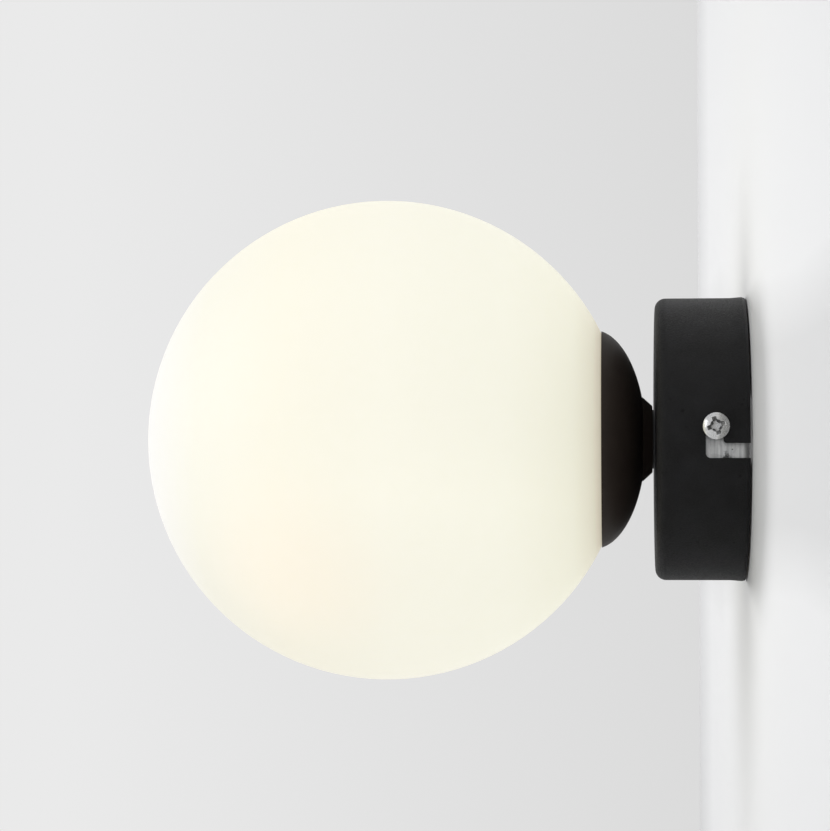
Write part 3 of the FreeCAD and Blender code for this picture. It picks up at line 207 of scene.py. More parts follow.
def colour_steps(tree, value, steps):
    """A soft run of colours: each step is a place from 0 to 1 and its colour."""
    node = add(tree, "ShaderNodeValToRGB", {"Fac": value})
    marks = node.color_ramp.elements
    while len(marks) < len(steps):
        marks.new(0.5)
    for mark, (at, colour) in zip(marks, steps):
        mark.position = at
        mark.color = colour
    return node.outputs["Color"]


def done(material):
    """Says how much there is to a finished material."""
    print(material.name, "has", len(material.node_tree.nodes), "nodes")
    return material


# %% [markdown]
# ## Effects that several finishes share
# A few effects come back in nearly every finish, so each is a node group with named sockets.
# `grain` is an even fine relief with slow blotches, as in powder coat, ceramic or moulded plastic.

# %% Grain
def new_group(name, inputs, outputs):
    """A node group that takes the place on the piece and its own values, and gives masks."""
    group = bpy.data.node_groups.new(name, "ShaderNodeTree")
    group.interface.new_socket("Place", in_out="INPUT", socket_type="NodeSocketVector")
    for label, kind, value in inputs:
        socket = group.interface.new_socket(label, in_out="INPUT", socket_type=kind)
        socket.default_value = value
    for label in outputs:
        group.interface.new_socket(label, in_out="OUTPUT", socket_type="NodeSocketFloat")
    given = group.nodes.new("NodeGroupInput").outputs
    result = group.nodes.new("NodeGroupOutput").inputs
    return group, given, result


def effect(tree, group, place, **values):
    """Places a shared effect in a material with its own values."""
    node = tree.nodes.new("ShaderNodeGroup")
    node.node_tree = group
    tree.links.new(place, node.inputs["Place"])
    for name, value in values.items():
        node.inputs[name.replace("_", " ")].default_value = value
    return node.outputs


BLOTCH_TO_GRAIN = 0.05
grain, given, result = new_group("grain", [("Per metre", "NodeSocketFloat", 2000.0)],
                                 ["Height", "Blotches"])
fine = add(grain, "ShaderNodeTexNoise", {"Vector": given["Place"], "Scale": given["Per metre"],
                                         "Detail": 3.0, "Roughness": 0.55})
slower = sums(grain, "MULTIPLY", given["Per metre"], BLOTCH_TO_GRAIN)
wide = add(grain, "ShaderNodeTexNoise", {"Vector": given["Place"], "Detail": 2.0, "Scale": slower})
grain.links.new(fine.outputs["Fac"], result["Height"])
grain.links.new(stretch(grain, wide.outputs["Fac"], 0.0, 1.0, 0.3, 0.7), result["Blotches"])
print("grain:", len(grain.nodes), "nodes")

# %% [markdown]
# `streaks` are long thin lines, as rolling or drawing leaves on sheet metal. They are a noise
# that is squeezed much more in one direction than in the others.

# %% Streaks
streaks, given, result = new_group(
    "streaks", [("Per metre", "NodeSocketVector", (60, 3000, 60))], ["Lines"])
squeezed = vectors(streaks, "MULTIPLY", given["Place"], given["Per metre"])
lines = add(streaks, "ShaderNodeTexNoise", {"Vector": squeezed, "Scale": 1.0, "Detail": 4.0,
                                            "Roughness": 0.6})
streaks.links.new(stretch(streaks, lines.outputs["Fac"], 0.0, 1.0, 0.25, 0.75), result["Lines"])
print("streaks:", len(streaks.nodes), "nodes")

# %% [markdown]
# `specks` are sparse small dots, such as pits and dust. Each cell of a Voronoi pattern draws a
# lot, and only the winners get a dot in their middle.

# %% Specks
specks, given, result = new_group(
    "specks", [("Per metre", "NodeSocketFloat", 900.0), ("Share", "NodeSocketFloat", 0.1)], ["Mask"])
cells = add(specks, "ShaderNodeTexVoronoi", {"Vector": given["Place"], "Scale": given["Per metre"]})
lot = add(specks, "ShaderNodeSeparateColor", {"Color": cells.outputs["Color"]}).outputs["Red"]
winner = sums(specks, "LESS_THAN", lot, given["Share"])
dot = stretch(specks, cells.outputs["Distance"], 1.0, 0.0, 0.12, 0.3)
specks.links.new(sums(specks, "MULTIPLY", winner, dot), result["Mask"])
print("specks:", len(specks.nodes), "nodes")

# %% [markdown]
# `worn_edges` finds the sharp edges of a piece, where handling polishes a finish. The Bevel node
# rounds the surface's direction near an edge, and the mask shows how far that differs from the
# true one. A noise breaks it up.

# %% Worn edges
worn_edges, given, result = new_group(
    "worn_edges", [("Width", "NodeSocketFloat", 0.0002)], ["Mask"])
rounded = add(worn_edges, "ShaderNodeBevel", {"Radius": given["Width"]}, samples=4).outputs["Normal"]
true_side = add(worn_edges, "ShaderNodeNewGeometry").outputs["Normal"]
likeness = vectors(worn_edges, "DOT_PRODUCT", rounded, true_side)
broken = add(worn_edges, "ShaderNodeTexNoise", {"Vector": given["Place"], "Scale": 1400.0,
                                                "Detail": 3.0}).outputs["Fac"]
turned_away = stretch(worn_edges, likeness, 1.0, 0.0, 0.75, 0.98)
kept = stretch(worn_edges, broken, 0.2, 1.0, 0.35, 0.6)
worn_edges.links.new(sums(worn_edges, "MULTIPLY", turned_away, kept), result["Mask"])
print("worn_edges:", len(worn_edges.nodes), "nodes")

# %% [markdown]
# This effect paints shade into recesses, slots and thread roots, broken into patches like grime
# where oil and dust stay. Ambient Occlusion measures how closed in a point is by the piece itself.

# %% Painted shade and grime in recesses
recess_shade_and_grime, given, result = new_group("recess_shade_and_grime", [("Reach", "NodeSocketFloat", 0.001)], ["Mask"])
openness = add(recess_shade_and_grime, "ShaderNodeAmbientOcclusion", {"Distance": given["Reach"]}, samples=6,
               only_local=True).outputs["AO"]
patchy = add(recess_shade_and_grime, "ShaderNodeTexNoise", {"Vector": given["Place"], "Scale": 2200.0,
                                           "Detail": 3.0}).outputs["Fac"]
# Closed-in places get painted shade, and the patchy noise breaks it up like grime.
closed_in = stretch(recess_shade_and_grime, openness, 1.0, 0.0, 0.3, 0.85)
kept = stretch(recess_shade_and_grime, patchy, 0.55, 1.0, 0.35, 0.6)
recess_shade_and_grime.links.new(sums(recess_shade_and_grime, "MULTIPLY", closed_in, kept), result["Mask"])
print("grime:", len(recess_shade_and_grime.nodes), "nodes")

# %% [markdown]
# ## Black powder coat
# The canopy is coated with powder that was baked on. It flows into a fine even grain, like the
# skin of an orange, and stays half matt. The grain shows most where the round side turns away.
# A few tiny pits in it are darker.

# %% Powder coat
powder, tree, surface, place = shader("black_powder_coat", Specular_IOR_Level=0.18)
skin = effect(tree, grain, place, Per_metre=2300.0)
pits = effect(tree, specks, place, Per_metre=460.0, Share=0.07)
shade = mix_colour(tree, skin["Blotches"], paint(20, 20, 20), paint(26, 26, 27))
shade = mix_colour(tree, pits["Mask"], shade, paint(8, 8, 8))
fill(tree, surface["Base Color"], shade)
fill(tree, surface["Roughness"], stretch(tree, skin["Height"], 0.48, 0.72, 0.3, 0.7))
fill(tree, surface["Normal"], relief(tree, skin["Height"], 0.00014))
done(powder)

# %% [markdown]
# ## Black satin paint
# Cap and collar are spun and turned parts with a thin smooth paint. It is a little warmer than
# the powder coat, and the turning marks show through as very fine rings round the axis.

# %% Satin paint
satin, tree, surface, place = shader("black_satin_paint", Specular_IOR_Level=0.16)
skin = effect(tree, grain, place, Per_metre=1500.0)
rings = effect(tree, streaks, place, Per_metre=(40, 2600, 40))
shade = mix_colour(tree, skin["Blotches"], paint(45, 38, 34), paint(50, 43, 38))
fill(tree, surface["Base Color"], shade)
fill(tree, surface["Roughness"], stretch(tree, skin["Height"], 0.48, 0.6))
marks = sums(tree, "ADD", skin["Height"], rings["Lines"])
fill(tree, surface["Normal"], relief(tree, marks, 0.000012))
done(satin)

# %% [markdown]
# ## Opal glass
# The globe is one skin of milky glass with an etched outside. Its light is painted into the glass
# as a glow, standing for the lamp in its middle that lights the whole skin from within: a little
# less towards the neck, where the lampholder is in the way, and painted shade above and below. So
# the painted glow is a soft run of colours along the light's axis, times a run from below to above,
# with a warmer place low on the side that faces the camera.

# %% Opal glass with a painted glow
GLOBE_MIDDLE = Vector((0, -0.1114, 0))
GLOBE_RADIUS = 0.075
WARM_PLACE = GLOBE_MIDDLE + Vector((0.056, -0.024, -0.044))
NECK_SIDE, FRONT_SIDE = -0.044, -0.187

opal, tree, surface, place = shader("opal_glass", Emission_Strength=1.0)
outwards = stretch(tree, coordinate(tree, place, "Y"), 0.0, 1.0, NECK_SIDE, FRONT_SIDE)
glow = colour_steps(tree, outwards, [
    (0.00, paint(166, 156, 135)), (0.02, paint(189, 184, 163)), (0.06, paint(198, 196, 176)),
    (0.20, paint(201, 199, 182)), (0.44, paint(202, 199, 182)), (0.66, paint(196, 191, 171)),
    (0.84, paint(185, 182, 166)), (0.97, paint(183, 182, 181)),
])
# Painted shade: the glass's glow is a little less above and below.
upwards = stretch(tree, coordinate(tree, place, "Z"), 0.0, 1.0, -GLOBE_RADIUS, GLOBE_RADIUS)
share_of_glow = colour_steps(tree, upwards, [
    (at, (share, share, share, 1)) for at, share in
    ((0.0, 0.95), (0.2, 0.98), (0.35, 1.03), (0.5, 1.0), (0.75, 0.985), (1.0, 0.945))
])
glow = vectors(tree, "MULTIPLY", glow, share_of_glow)
from_warm = vectors(tree, "DISTANCE", place, WARM_PLACE)
warmth = stretch(tree, from_warm, 0.5, 0.0, 0.002, 0.04, "SMOOTHSTEP")
glow = mix_colour(tree, warmth, glow, paint(210, 195, 172))
# The glass's light is painted: this colour is its emission.
fill(tree, surface["Emission Color"], glow)
etch = effect(tree, grain, place, Per_metre=5200.0)
milk = mix_colour(tree, etch["Blotches"], paint(187, 186, 180), paint(189, 188, 182))
fill(tree, surface["Base Color"], milk)
fill(tree, surface["Roughness"], stretch(tree, etch["Height"], 0.5, 0.68))
fill(tree, surface["Normal"], relief(tree, etch["Height"], 0.000004))
done(opal)

# %% [markdown]
# ## Metals
# All the bare and plated metals are built alike: rolling or turning lines, slow blotches, tiny
# pits, edges that handling has brightened, and painted shade with grime in recesses. What differs
# is colour, gloss and line direction.
# Galvanised sheet gets one more layer, the flat zinc crystals that catch the light differently.

# %% Metals
def about_axis(tree, place, centre):
    """The distance from an axis along X, so that lines become rings, as on a turned head."""
    across = vectors(tree, "MULTIPLY", vectors(tree, "SUBTRACT", place, centre), (0, 1, 1))
    reach = vectors(tree, "LENGTH", across)
    return add(tree, "ShaderNodeCombineXYZ", {"X": reach}).outputs["Vector"]


def metal(name, dark, light, along=(2400, 2400, 150), gloss=(0.3, 0.5), pit_and_shade=paint(70, 68, 64),
          metallic=1.0, crystals=False, centre=None, groove=0.000015, pit_size=(1100.0, 0.05),
          marks=None):
    """The metal's two colours, its lines a metre along each axis, its gloss, and the colour of its
    pits, grime and painted shade. Only some have crystals, rings about a centre, or marks of their
    own, which add painted shade, and on the ear a dark spot."""
    material, tree, surface, place = shader(name, Metallic=metallic)
    lined = place if centre is None else about_axis(tree, place, centre)
    drawn = effect(tree, streaks, lined, Per_metre=along)
    bloom = effect(tree, grain, place, Per_metre=1600.0)
    pits = effect(tree, specks, place, Per_metre=pit_size[0], Share=pit_size[1])
    edges = effect(tree, worn_edges, place)
    # Painted shade in recesses from ambient occlusion, with patches of grime; the marks add more
    # painted shade.
    dirt_and_painted_shade = effect(tree, recess_shade_and_grime, place, Reach=0.0016)["Mask"]
    tone = sums(tree, "ADD", sums(tree, "MULTIPLY", drawn["Lines"], 0.7),
                sums(tree, "MULTIPLY", bloom["Blotches"], 0.3))
    if crystals:
        flakes = add(tree, "ShaderNodeTexVoronoi", {"Vector": place, "Scale": 260.0})
        facet = add(tree, "ShaderNodeSeparateColor", {"Color": flakes.outputs["Color"]}).outputs["Red"]
        tone = sums(tree, "ADD", sums(tree, "MULTIPLY", tone, 0.8), sums(tree, "MULTIPLY", facet, 0.2))
    if marks is not None:
        dirt_and_painted_shade = sums(tree, "MAXIMUM", dirt_and_painted_shade, marks(tree, place))
    shade = mix_colour(tree, tone, dark, light)
    shade = mix_colour(tree, edges["Mask"], shade, light)
    shade = mix_colour(tree, pits["Mask"], shade, pit_and_shade)
    fill(tree, surface["Base Color"], mix_colour(tree, dirt_and_painted_shade, shade, pit_and_shade))
    fill(tree, surface["Roughness"], stretch(tree, bloom["Height"], gloss[0], gloss[1], 0.3, 0.7))
    fill(tree, surface["Normal"], relief(tree, drawn["Lines"], groove))
    return done(material)


zinc_plated = metal("zinc_plated_steel", paint(165, 168, 172), paint(214, 214, 208), gloss=(0.24, 0.42))
spring_steel = metal("spring_steel", paint(96, 98, 104), paint(150, 152, 156), gloss=(0.28, 0.45))
brass = metal("brass", paint(168, 132, 66), paint(222, 188, 112), gloss=(0.22, 0.42),
              pit_and_shade=paint(84, 58, 30))
tinned_copper = metal("tinned_copper", paint(178, 176, 170), paint(222, 220, 214), gloss=(0.28, 0.5),
                      pit_and_shade=paint(128, 84, 58))

# %% [markdown]
# Two of them have marks of their own, because they are what is seen from the side. The ear of the
# bracket has a small ragged dark spot, and painted shade on its bend near the wall. The lock screws
# are the brightest zinc, with rings from turning, and the walls of their recesses are darkened with
# painted shade.

# %% Ear of the bracket
EAR_DARK_SPOT = (0.041, -0.007, -0.0093)
BEND_BEYOND = 0.0389


def ear_spot_and_bend_shade(tree, place):
    """A small dark spot with a ragged edge on the right ear, and painted shade at the bend of both."""
    smear = add(tree, "ShaderNodeTexNoise", {"Vector": place, "Scale": 900.0, "Detail": 3.0})
    ragged = stretch(tree, smear.outputs["Fac"], -0.0009, 0.0009, 0.3, 0.7)
    from_dark_spot = sums(tree, "ADD", vectors(tree, "DISTANCE", place, EAR_DARK_SPOT), ragged)
    dark_spot = stretch(tree, from_dark_spot, 0.9, 0.0, 0.0007, 0.0017)
    # Painted shade: the bend near the wall is darkened.
    near_wall = stretch(tree, coordinate(tree, place, "Y"), 0.0, 0.95, -0.0022, -0.0006, "SMOOTHSTEP")
    sideways = sums(tree, "ABSOLUTE", coordinate(tree, place, "X"))
    bend = sums(tree, "MULTIPLY", near_wall, sums(tree, "GREATER_THAN", sideways, BEND_BEYOND))
    return sums(tree, "MAXIMUM", dark_spot, bend)


galvanised = metal("galvanised_steel", paint(136, 137, 138), paint(248, 248, 247), (1500, 1500, 110),
                   (0.34, 0.58), pit_and_shade=paint(62, 62, 62), metallic=0.85, crystals=True,
                   pit_size=(900.0, 0.012), marks=ear_spot_and_bend_shade)

# %% [markdown]
# The head of a lock screw is part of a ball, so its own distance from the ball's middle tells the
# dome from what lies under it. Both screws are alike, so the place is mirrored onto one of them.

# %% Painted shade in the recesses of the lock screws
DOME_MIDDLE = Vector((0.04157, 0.01014, 0))
DOME_RADIUS = 0.00547
RECESS_SHADE = 0.72


def painted_recess_shade(tree, place):
    """Paints shade on the walls of the recess. Its floor, which is nearer the ball's middle, stays
    paler.
    """
    mirrored = vectors(tree, "ABSOLUTE", place)
    reach = vectors(tree, "DISTANCE", mirrored, DOME_MIDDLE)
    under = stretch(tree, reach, 1.0, 0.0, DOME_RADIUS - 0.00022, DOME_RADIUS - 0.00008)
    above_floor = stretch(tree, reach, 0.25, 1.0, DOME_RADIUS - 0.0019, DOME_RADIUS - 0.0014)
    in_head = sums(tree, "GREATER_THAN", coordinate(tree, mirrored, "X"),
                   DOME_MIDDLE.x + 0.6 * DOME_RADIUS)
    # The painted shade on the recess walls.
    wall = sums(tree, "MULTIPLY", sums(tree, "MULTIPLY", under, above_floor), in_head)
    return sums(tree, "MULTIPLY", wall, RECESS_SHADE)


bright_zinc = metal("bright_zinc", paint(184, 184, 184), paint(248, 248, 247), (6000, 6000, 6000),
                    (0.2, 0.32), pit_and_shade=paint(44, 43, 42), centre=(0, -0.01014, 0), groove=0.00001,
                    pit_size=(1500.0, 0.03), marks=painted_recess_shade)

# %% [markdown]
# ## Plastics, rubber and ceramic
# Moulded pieces have a fine grain from their mould, soft blotches from the flow, and corners that
# are a shade lighter. The lampholder's ceramic has a thin glaze with a few specks under it.

# %% Moulded pieces
def moulded(name, dark, light, rough=(0.4, 0.6), fine=2600.0, depth=0.00002, dots=0.03,
            dot=paint(90, 86, 78), **constants):
    material, tree, surface, place = shader(name, **constants)
    skin = effect(tree, grain, place, Per_metre=fine)
    dust = effect(tree, specks, place, Per_metre=800.0, Share=dots)
    edges = effect(tree, worn_edges, place, Width=0.0003)
    shade = mix_colour(tree, skin["Blotches"], dark, light)
    shade = mix_colour(tree, sums(tree, "MULTIPLY", edges["Mask"], 0.5), shade, light)
    fill(tree, surface["Base Color"], mix_colour(tree, dust["Mask"], shade, dot))
    fill(tree, surface["Roughness"], stretch(tree, skin["Height"], rough[0], rough[1], 0.3, 0.7))
    fill(tree, surface["Normal"], relief(tree, skin["Height"], depth))
    return done(material)


nylon_natural = moulded("nylon_natural", paint(214, 210, 196), paint(232, 229, 218))
black_nylon = moulded("black_nylon", paint(22, 22, 23), paint(38, 38, 39), dot=paint(64, 64, 64))
white_ceramic = moulded("white_ceramic", paint(222, 218, 206), paint(238, 235, 226), (0.16, 0.3),
                        1800.0, 0.00001, 0.08, paint(150, 138, 118))
silicone = moulded("silicone", paint(196, 198, 196), paint(214, 216, 214), (0.3, 0.44), 900.0)
lamp_white = moulded("lamp_white", paint(226, 226, 222), paint(240, 240, 238), (0.25, 0.4))
lamp_opal = moulded("lamp_opal", paint(236, 232, 218), paint(246, 243, 232), (0.3, 0.45), 3000.0,
                    0.000006, 0.0, paint(236, 232, 218), Emission_Strength=0.25,
                    Emission_Color=paint(255, 240, 208))

# %% [markdown]
# ## Wire insulation
# The leads have a soft plastic skin with bare tinned strands at the clamped end. The earth lead is
# green with yellow along one side. The yellow follows the way the surface faces, not a drawing on
# it, so it bends with the lead.

# %% Insulation
BARE_BELOW = -0.0172
STRIPE_FACES = (0.35, 0.86, 0.37)


def insulation(name, dark, light, stripe=None):
    material, tree, surface, place = shader(name)
    skin = effect(tree, grain, place, Per_metre=1400.0)
    strands = effect(tree, streaks, place, Per_metre=(5200, 5200, 500))
    shade = mix_colour(tree, skin["Blotches"], dark, light)
    if stripe is not None:
        facing = add(tree, "ShaderNodeTexCoord").outputs["Normal"]
        turned_to = vectors(tree, "DOT_PRODUCT", facing, STRIPE_FACES)
        shade = mix_colour(tree, stretch(tree, turned_to, 0.0, 1.0, 0.02, 0.12), shade, stripe)
    height = coordinate(tree, place, "Z")
    bare = stretch(tree, height, 1.0, 0.0, BARE_BELOW - 0.0001, BARE_BELOW)
    copper = mix_colour(tree, strands["Lines"], paint(122, 92, 70), paint(206, 190, 172))
    fill(tree, surface["Base Color"], mix_colour(tree, bare, shade, copper))
    fill(tree, surface["Metallic"], bare)
    fill(tree, surface["Roughness"], stretch(tree, skin["Height"], 0.34, 0.5))
    fill(tree, surface["Normal"], relief(tree, skin["Height"], 0.00001))
    return done(material)


lead_brown = insulation("lead_brown", paint(84, 50, 32), paint(104, 64, 42))
lead_blue = insulation("lead_blue", paint(36, 82, 150), paint(52, 104, 176))
lead_green_yellow = insulation("lead_green_yellow", paint(40, 112, 58), paint(58, 136, 74),
                               stripe=paint(224, 204, 66))

# %% [markdown]
# ## The lamp's core
# The lamp is a small plug-in one. Under its milky cover stands a white carrier with rows of
# light chips, each under a drop of yellow gel.

# %% Lamp core
ROWS_AROUND = 8
CHIP_STEP = 0.0042

lamp_board, tree, surface, place = shader("lamp_board")
angle = sums(tree, "ARCTAN2", coordinate(tree, place, "Z"), coordinate(tree, place, "X"))
around = sums(tree, "MULTIPLY", angle, ROWS_AROUND / math.tau)
along = sums(tree, "MULTIPLY", coordinate(tree, place, "Y"), 1 / CHIP_STEP)
inside = []
for steps in (around, along):
    from_middle = sums(tree, "ABSOLUTE", sums(tree, "SUBTRACT", sums(tree, "FRACT", steps), 0.5))
    inside.append(stretch(tree, from_middle, 1.0, 0.0, 0.26, 0.3))
chip = sums(tree, "MULTIPLY", *inside)
skin = effect(tree, grain, place, Per_metre=1800.0)
board = mix_colour(tree, skin["Blotches"], paint(224, 226, 224), paint(238, 239, 238))
fill(tree, surface["Base Color"], mix_colour(tree, chip, board, paint(226, 196, 74)))
fill(tree, surface["Roughness"], stretch(tree, chip, 0.5, 0.2))
fill(tree, surface["Normal"], relief(tree, chip, 0.0003))
done(lamp_board)

# %% [markdown]
# ## Which finish goes where
# Each node of the frame gets its finish in its own material slot. The screws, nuts and tube aren't
# in the list, because the next steps model them again.

# %% Finishes of the nodes
FINISHES = {
    powder: ["canopy"],
    satin: ["cap", "neck_collar"],
    opal: ["globe"],
    galvanised: ["mounting_bracket"],
    zinc_plated: ["earth_washer", "globe_fitter", "terminal_plate", "holder_bracket"],
    brass: ["brass_inserts"],
    spring_steel: ["rear_lock_washer", "front_lock_washer", "contact_clips"],
    tinned_copper: ["earth_tag", "lamp_pins"],
    nylon_natural: ["terminal_block"],
    black_nylon: ["spacer_washer", "insulating_bush"],
    white_ceramic: ["holder_base", "holder_top"],
    silicone: ["globe_seal"],
    lamp_white: ["lamp_base"],
    lamp_opal: ["lamp_cover"],
    lamp_board: ["lamp_core"],
    lead_brown: ["live_lead"],
    lead_blue: ["neutral_lead"],
    lead_green_yellow: ["earth_lead"],
}
for material, names in FINISHES.items():
    for name in names:
        mesh = nodes[name].data
        mesh.materials.clear()
        mesh.materials.append(material)
print("finished nodes:", sum(len(names) for names in FINISHES.values()), "of", len(nodes))

# %% [markdown]
# ## Screws and nuts
# The frame has plain screws and nuts. The real ones have cut threads, driven recesses and broken
# edges, so they are modelled again, each one standing up along Z before it is put in its place.
# Every operator works on all that is selected, so each step starts with nothing selected.

# %% Helpers for modelling
def select_nothing():
    if bpy.context.object is not None and bpy.context.object.mode != "OBJECT":
        bpy.ops.object.mode_set(mode="OBJECT")
    bpy.ops.object.select_all(action="DESELECT")


def work_on(piece):
    select_nothing()
    piece.select_set(True)
    bpy.context.view_layer.objects.active = piece


def pick(kind, wanted):
    """Selects only the points (VERT) or sides (FACE) that pass a test."""
    bpy.ops.mesh.select_mode(type=kind)
    bpy.ops.mesh.select_all(action="DESELECT")
    shape = bmesh.from_edit_mesh(bpy.context.object.data)
    for part in (shape.verts if kind == "VERT" else shape.faces):
        if wanted(part):
            part.select_set(True)
    bmesh.update_edit_mesh(bpy.context.object.data)


def close_edit(name):
    """Merges what lies together, turns all sides outwards and names the piece."""
    bpy.ops.mesh.select_all(action="SELECT")
    bpy.ops.mesh.remove_doubles(threshold=0.000001)
    bpy.ops.mesh.normals_make_consistent(inside=False)
    bpy.ops.object.mode_set(mode="OBJECT")
    bpy.context.object.name = name
    return bpy.context.object


def combine(piece, tool, operation):
    """Joins a tool to the piece, cuts it out or keeps what both share. The tool is used up."""
    work_on(piece)
    modifier = piece.modifiers.new(operation.lower(), "BOOLEAN")
    modifier.object = tool
    modifier.operation = operation
    modifier.solver = "EXACT"
    bpy.ops.object.modifier_apply(modifier=modifier.name)
    bpy.data.objects.remove(tool)


# %% [markdown]
# A turned shape is a disc that is raised ring by ring: extrude it, then resize the new ring. Each
# ring is given by its radius and its height in millimetres.

# %% Turned shapes
def turned(name, rings, corners=64):
    select_nothing()
    radius, height = rings[0]
    bpy.ops.mesh.primitive_circle_add(vertices=corners, radius=radius * MM, fill_type="NGON",
                                      location=(0, 0, height * MM), enter_editmode=True)
    for wider, higher in rings[1:]:
        bpy.ops.mesh.extrude_region_move(
            TRANSFORM_OT_translate={"value": (0, 0, (higher - height) * MM)})
        bpy.ops.transform.resize(value=(wider / radius, wider / radius, 1),
                                 center_override=(0, 0, higher * MM))
        radius, height = wider, higher
    return close_edit(name)


# %% [markdown]
# A thread is one vee that the Screw modifier carries round and along. The vee is three of a
# diamond's four corners. It goes past both ends, is cut level there, and is then trimmed by a
# turned shape that gives it a pointed tip. It starts a little more than one turn too low, so that
# none of its corners lies in a cutting plane.

# %% Threads
THREAD_DEPTH = 0.6
SPARE_TURNS = 3


def threaded(name, outer, pitch, length, root=0.0):
    """A threaded shank from z = root down to -length, with a bevelled tip."""
    inner = outer - THREAD_DEPTH * pitch
    turns = math.ceil((length + root) / pitch) + SPARE_TURNS
    lowest = -length - 1.03 * pitch
    select_nothing()
    bpy.ops.mesh.primitive_circle_add(vertices=4, radius=pitch / 2 * MM, enter_editmode=True,
                                      location=(inner * MM, 0, lowest * MM),
                                      rotation=(math.pi / 2, 0, 0))
    pick("VERT", lambda corner: corner.co.x < -0.1 * pitch * MM)
    bpy.ops.mesh.delete(type="VERT")
    bpy.ops.mesh.select_all(action="SELECT")
    bpy.ops.transform.resize(value=(2 * (outer - inner) / pitch, 1, 1),
                             center_override=(inner * MM, 0, lowest * MM))
    bpy.ops.object.mode_set(mode="OBJECT")
    bpy.ops.object.transform_apply(location=True, rotation=True, scale=True)
    thread = bpy.context.object
    modifier = thread.modifiers.new("turns", "SCREW")
    modifier.screw_offset = pitch * MM
    modifier.iterations = turns
    modifier.steps = modifier.render_steps = 24
    modifier.use_merge_vertices = True
    modifier.merge_threshold = 0.000002
    bpy.ops.object.modifier_apply(modifier="turns")
    bpy.ops.object.mode_set(mode="EDIT")
    for height, side in ((root * MM, 1), (-length * MM, -1)):
        bpy.ops.mesh.select_all(action="SELECT")
        bpy.ops.mesh.remove_doubles(threshold=0.000002)
        bpy.ops.mesh.bisect(plane_co=(0, 0, height), plane_no=(0, 0, side), use_fill=True,
                            clear_outer=True, threshold=0.0000001)
    thread = close_edit(name)
    trim = turned("trim", [(0.75 * outer, -length - 0.1), (0.8 * outer, -length),
                           (outer * 1.1, -length + 0.35 * outer), (outer * 1.1, root + 0.1)], 48)
    combine(thread, trim, "INTERSECT")
    return thread


# %% [markdown]
# The cross recess of a screw head is two wings that narrow downwards, with a cone between them.
# A plain slot is one long bar. Both are cut out of the head.

# %% Recesses
WING_TAPER = 0.38


def bar(span, width, top, depth, taper):
    """A bar that reaches down from a little above top and narrows towards its floor."""
    select_nothing()
    floor = (top - depth) * MM
    bpy.ops.mesh.primitive_cube_add(size=MM, location=(0, 0, (top - depth / 2 + 0.25) * MM),
                                    scale=(span, width, depth + 0.5), enter_editmode=True)
    pick("FACE", lambda side: side.normal.z < -0.9)
    bpy.ops.transform.resize(value=(taper, (1 + taper) / 2, 1), center_override=(0, 0, floor))
    return close_edit("bar")


def cut_cross(head, top, span, width, depth):
    combine(head, bar(span, width, top, depth, WING_TAPER), "DIFFERENCE")
    wing = bar(span, width, top, depth, WING_TAPER)
    wing.rotation_euler.z = math.pi / 2
    combine(head, wing, "DIFFERENCE")
    middle = turned("middle", [(0.7 * width, top - depth + 0.1), (1.25 * width, top - 0.35),
                               (1.3 * width, top + 0.3)], 24)
    combine(head, middle, "DIFFERENCE")


def cut_slot(head, top, span, width, depth):
    combine(head, bar(span * 1.3, width, top, depth, 1.0), "DIFFERENCE")


# %% [markdown]
# A whole screw is a turned head with its recess, its edges broken by a small bevel, and a
# threaded shank joined below. The seat under the head is at z = 0. `pan_head` is the low dome of
# the lock and fixing screws, and `cheese_head` the taller, straight-sided head of the others.

# %% Screws
def screw(name, rings, shank, pitch, length, cut, span, width, depth, corners=48):
    head = turned(name, rings, corners)
    cut(head, rings[-1][1], span, width, depth)
    work_on(head)
    modifier = head.modifiers.new("edges", "BEVEL")
    modifier.width = 0.05 * MM
    modifier.segments = 2
    modifier.limit_method = "ANGLE"
    modifier.angle_limit = math.radians(40)
    bpy.ops.object.modifier_apply(modifier="edges")
    combine(head, threaded("shank", shank, pitch, length, 0.3), "UNION")
    work_on(head)
    bpy.ops.object.shade_smooth_by_angle(angle=math.radians(32))
    print(name, "faces:", len(head.data.polygons))
    return head


def pan_head(radius, side, height):
    """A pan head: a broken lower edge, a short straight side and a dome that closes in rings."""
    dome = height - side
    ball = (radius * radius + dome * dome) / (2 * dome)
    rings = [(radius - 0.12, 0), (radius, 0.12), (radius, side)]
    for share in (0.97, 0.9, 0.8, 0.68, 0.54, 0.38, 0.2, 0.06):
        wide = share * radius
        rings.append((wide, height - ball + math.sqrt(ball * ball - wide * wide)))
    return rings


def cheese_head(radius, height):
    return [(radius - 0.1, 0), (radius, 0.1), (radius, 0.7 * height), (radius * 0.97, 0.86 * height),
            (radius * 0.88, 0.97 * height), (radius * 0.75, height)]


# %% [markdown]
# Where a screw goes: its seat in the frame, in millimetres, and the way its head faces. The place
# is put into the mesh itself, so that the finished piece's object sits at the origin.

# %% Places
FACING = {"+X": (math.pi / 2, "Y"), "-X": (-math.pi / 2, "Y"), "wall": (-math.pi / 2, "X"),
          "front": (math.pi / 2, "X")}


def put(model, name, seat, facing, body, finish, node, turn=0.0):
    """Places a copy of a model with its own mesh, and lets it stand for a node of the frame."""
    piece = model.copy()
    piece.data = model.data.copy()
    piece.name = name
    scene.collection.objects.link(piece)
    angle, axis = FACING[facing]
    turned_round = Matrix.Rotation(angle, 4, axis) @ Matrix.Rotation(turn, 4, "Z")
    piece.matrix_world = Matrix.Translation(Vector(seat) * MM) @ turned_round
    work_on(piece)
    bpy.ops.object.transform_apply(location=True, rotation=True, scale=True)
    piece.data.materials.clear()
    piece.data.materials.append(finish)
    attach(piece, body)
    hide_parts(node)
    return piece


def used(*models):
    for model in models:
        bpy.data.objects.remove(model)


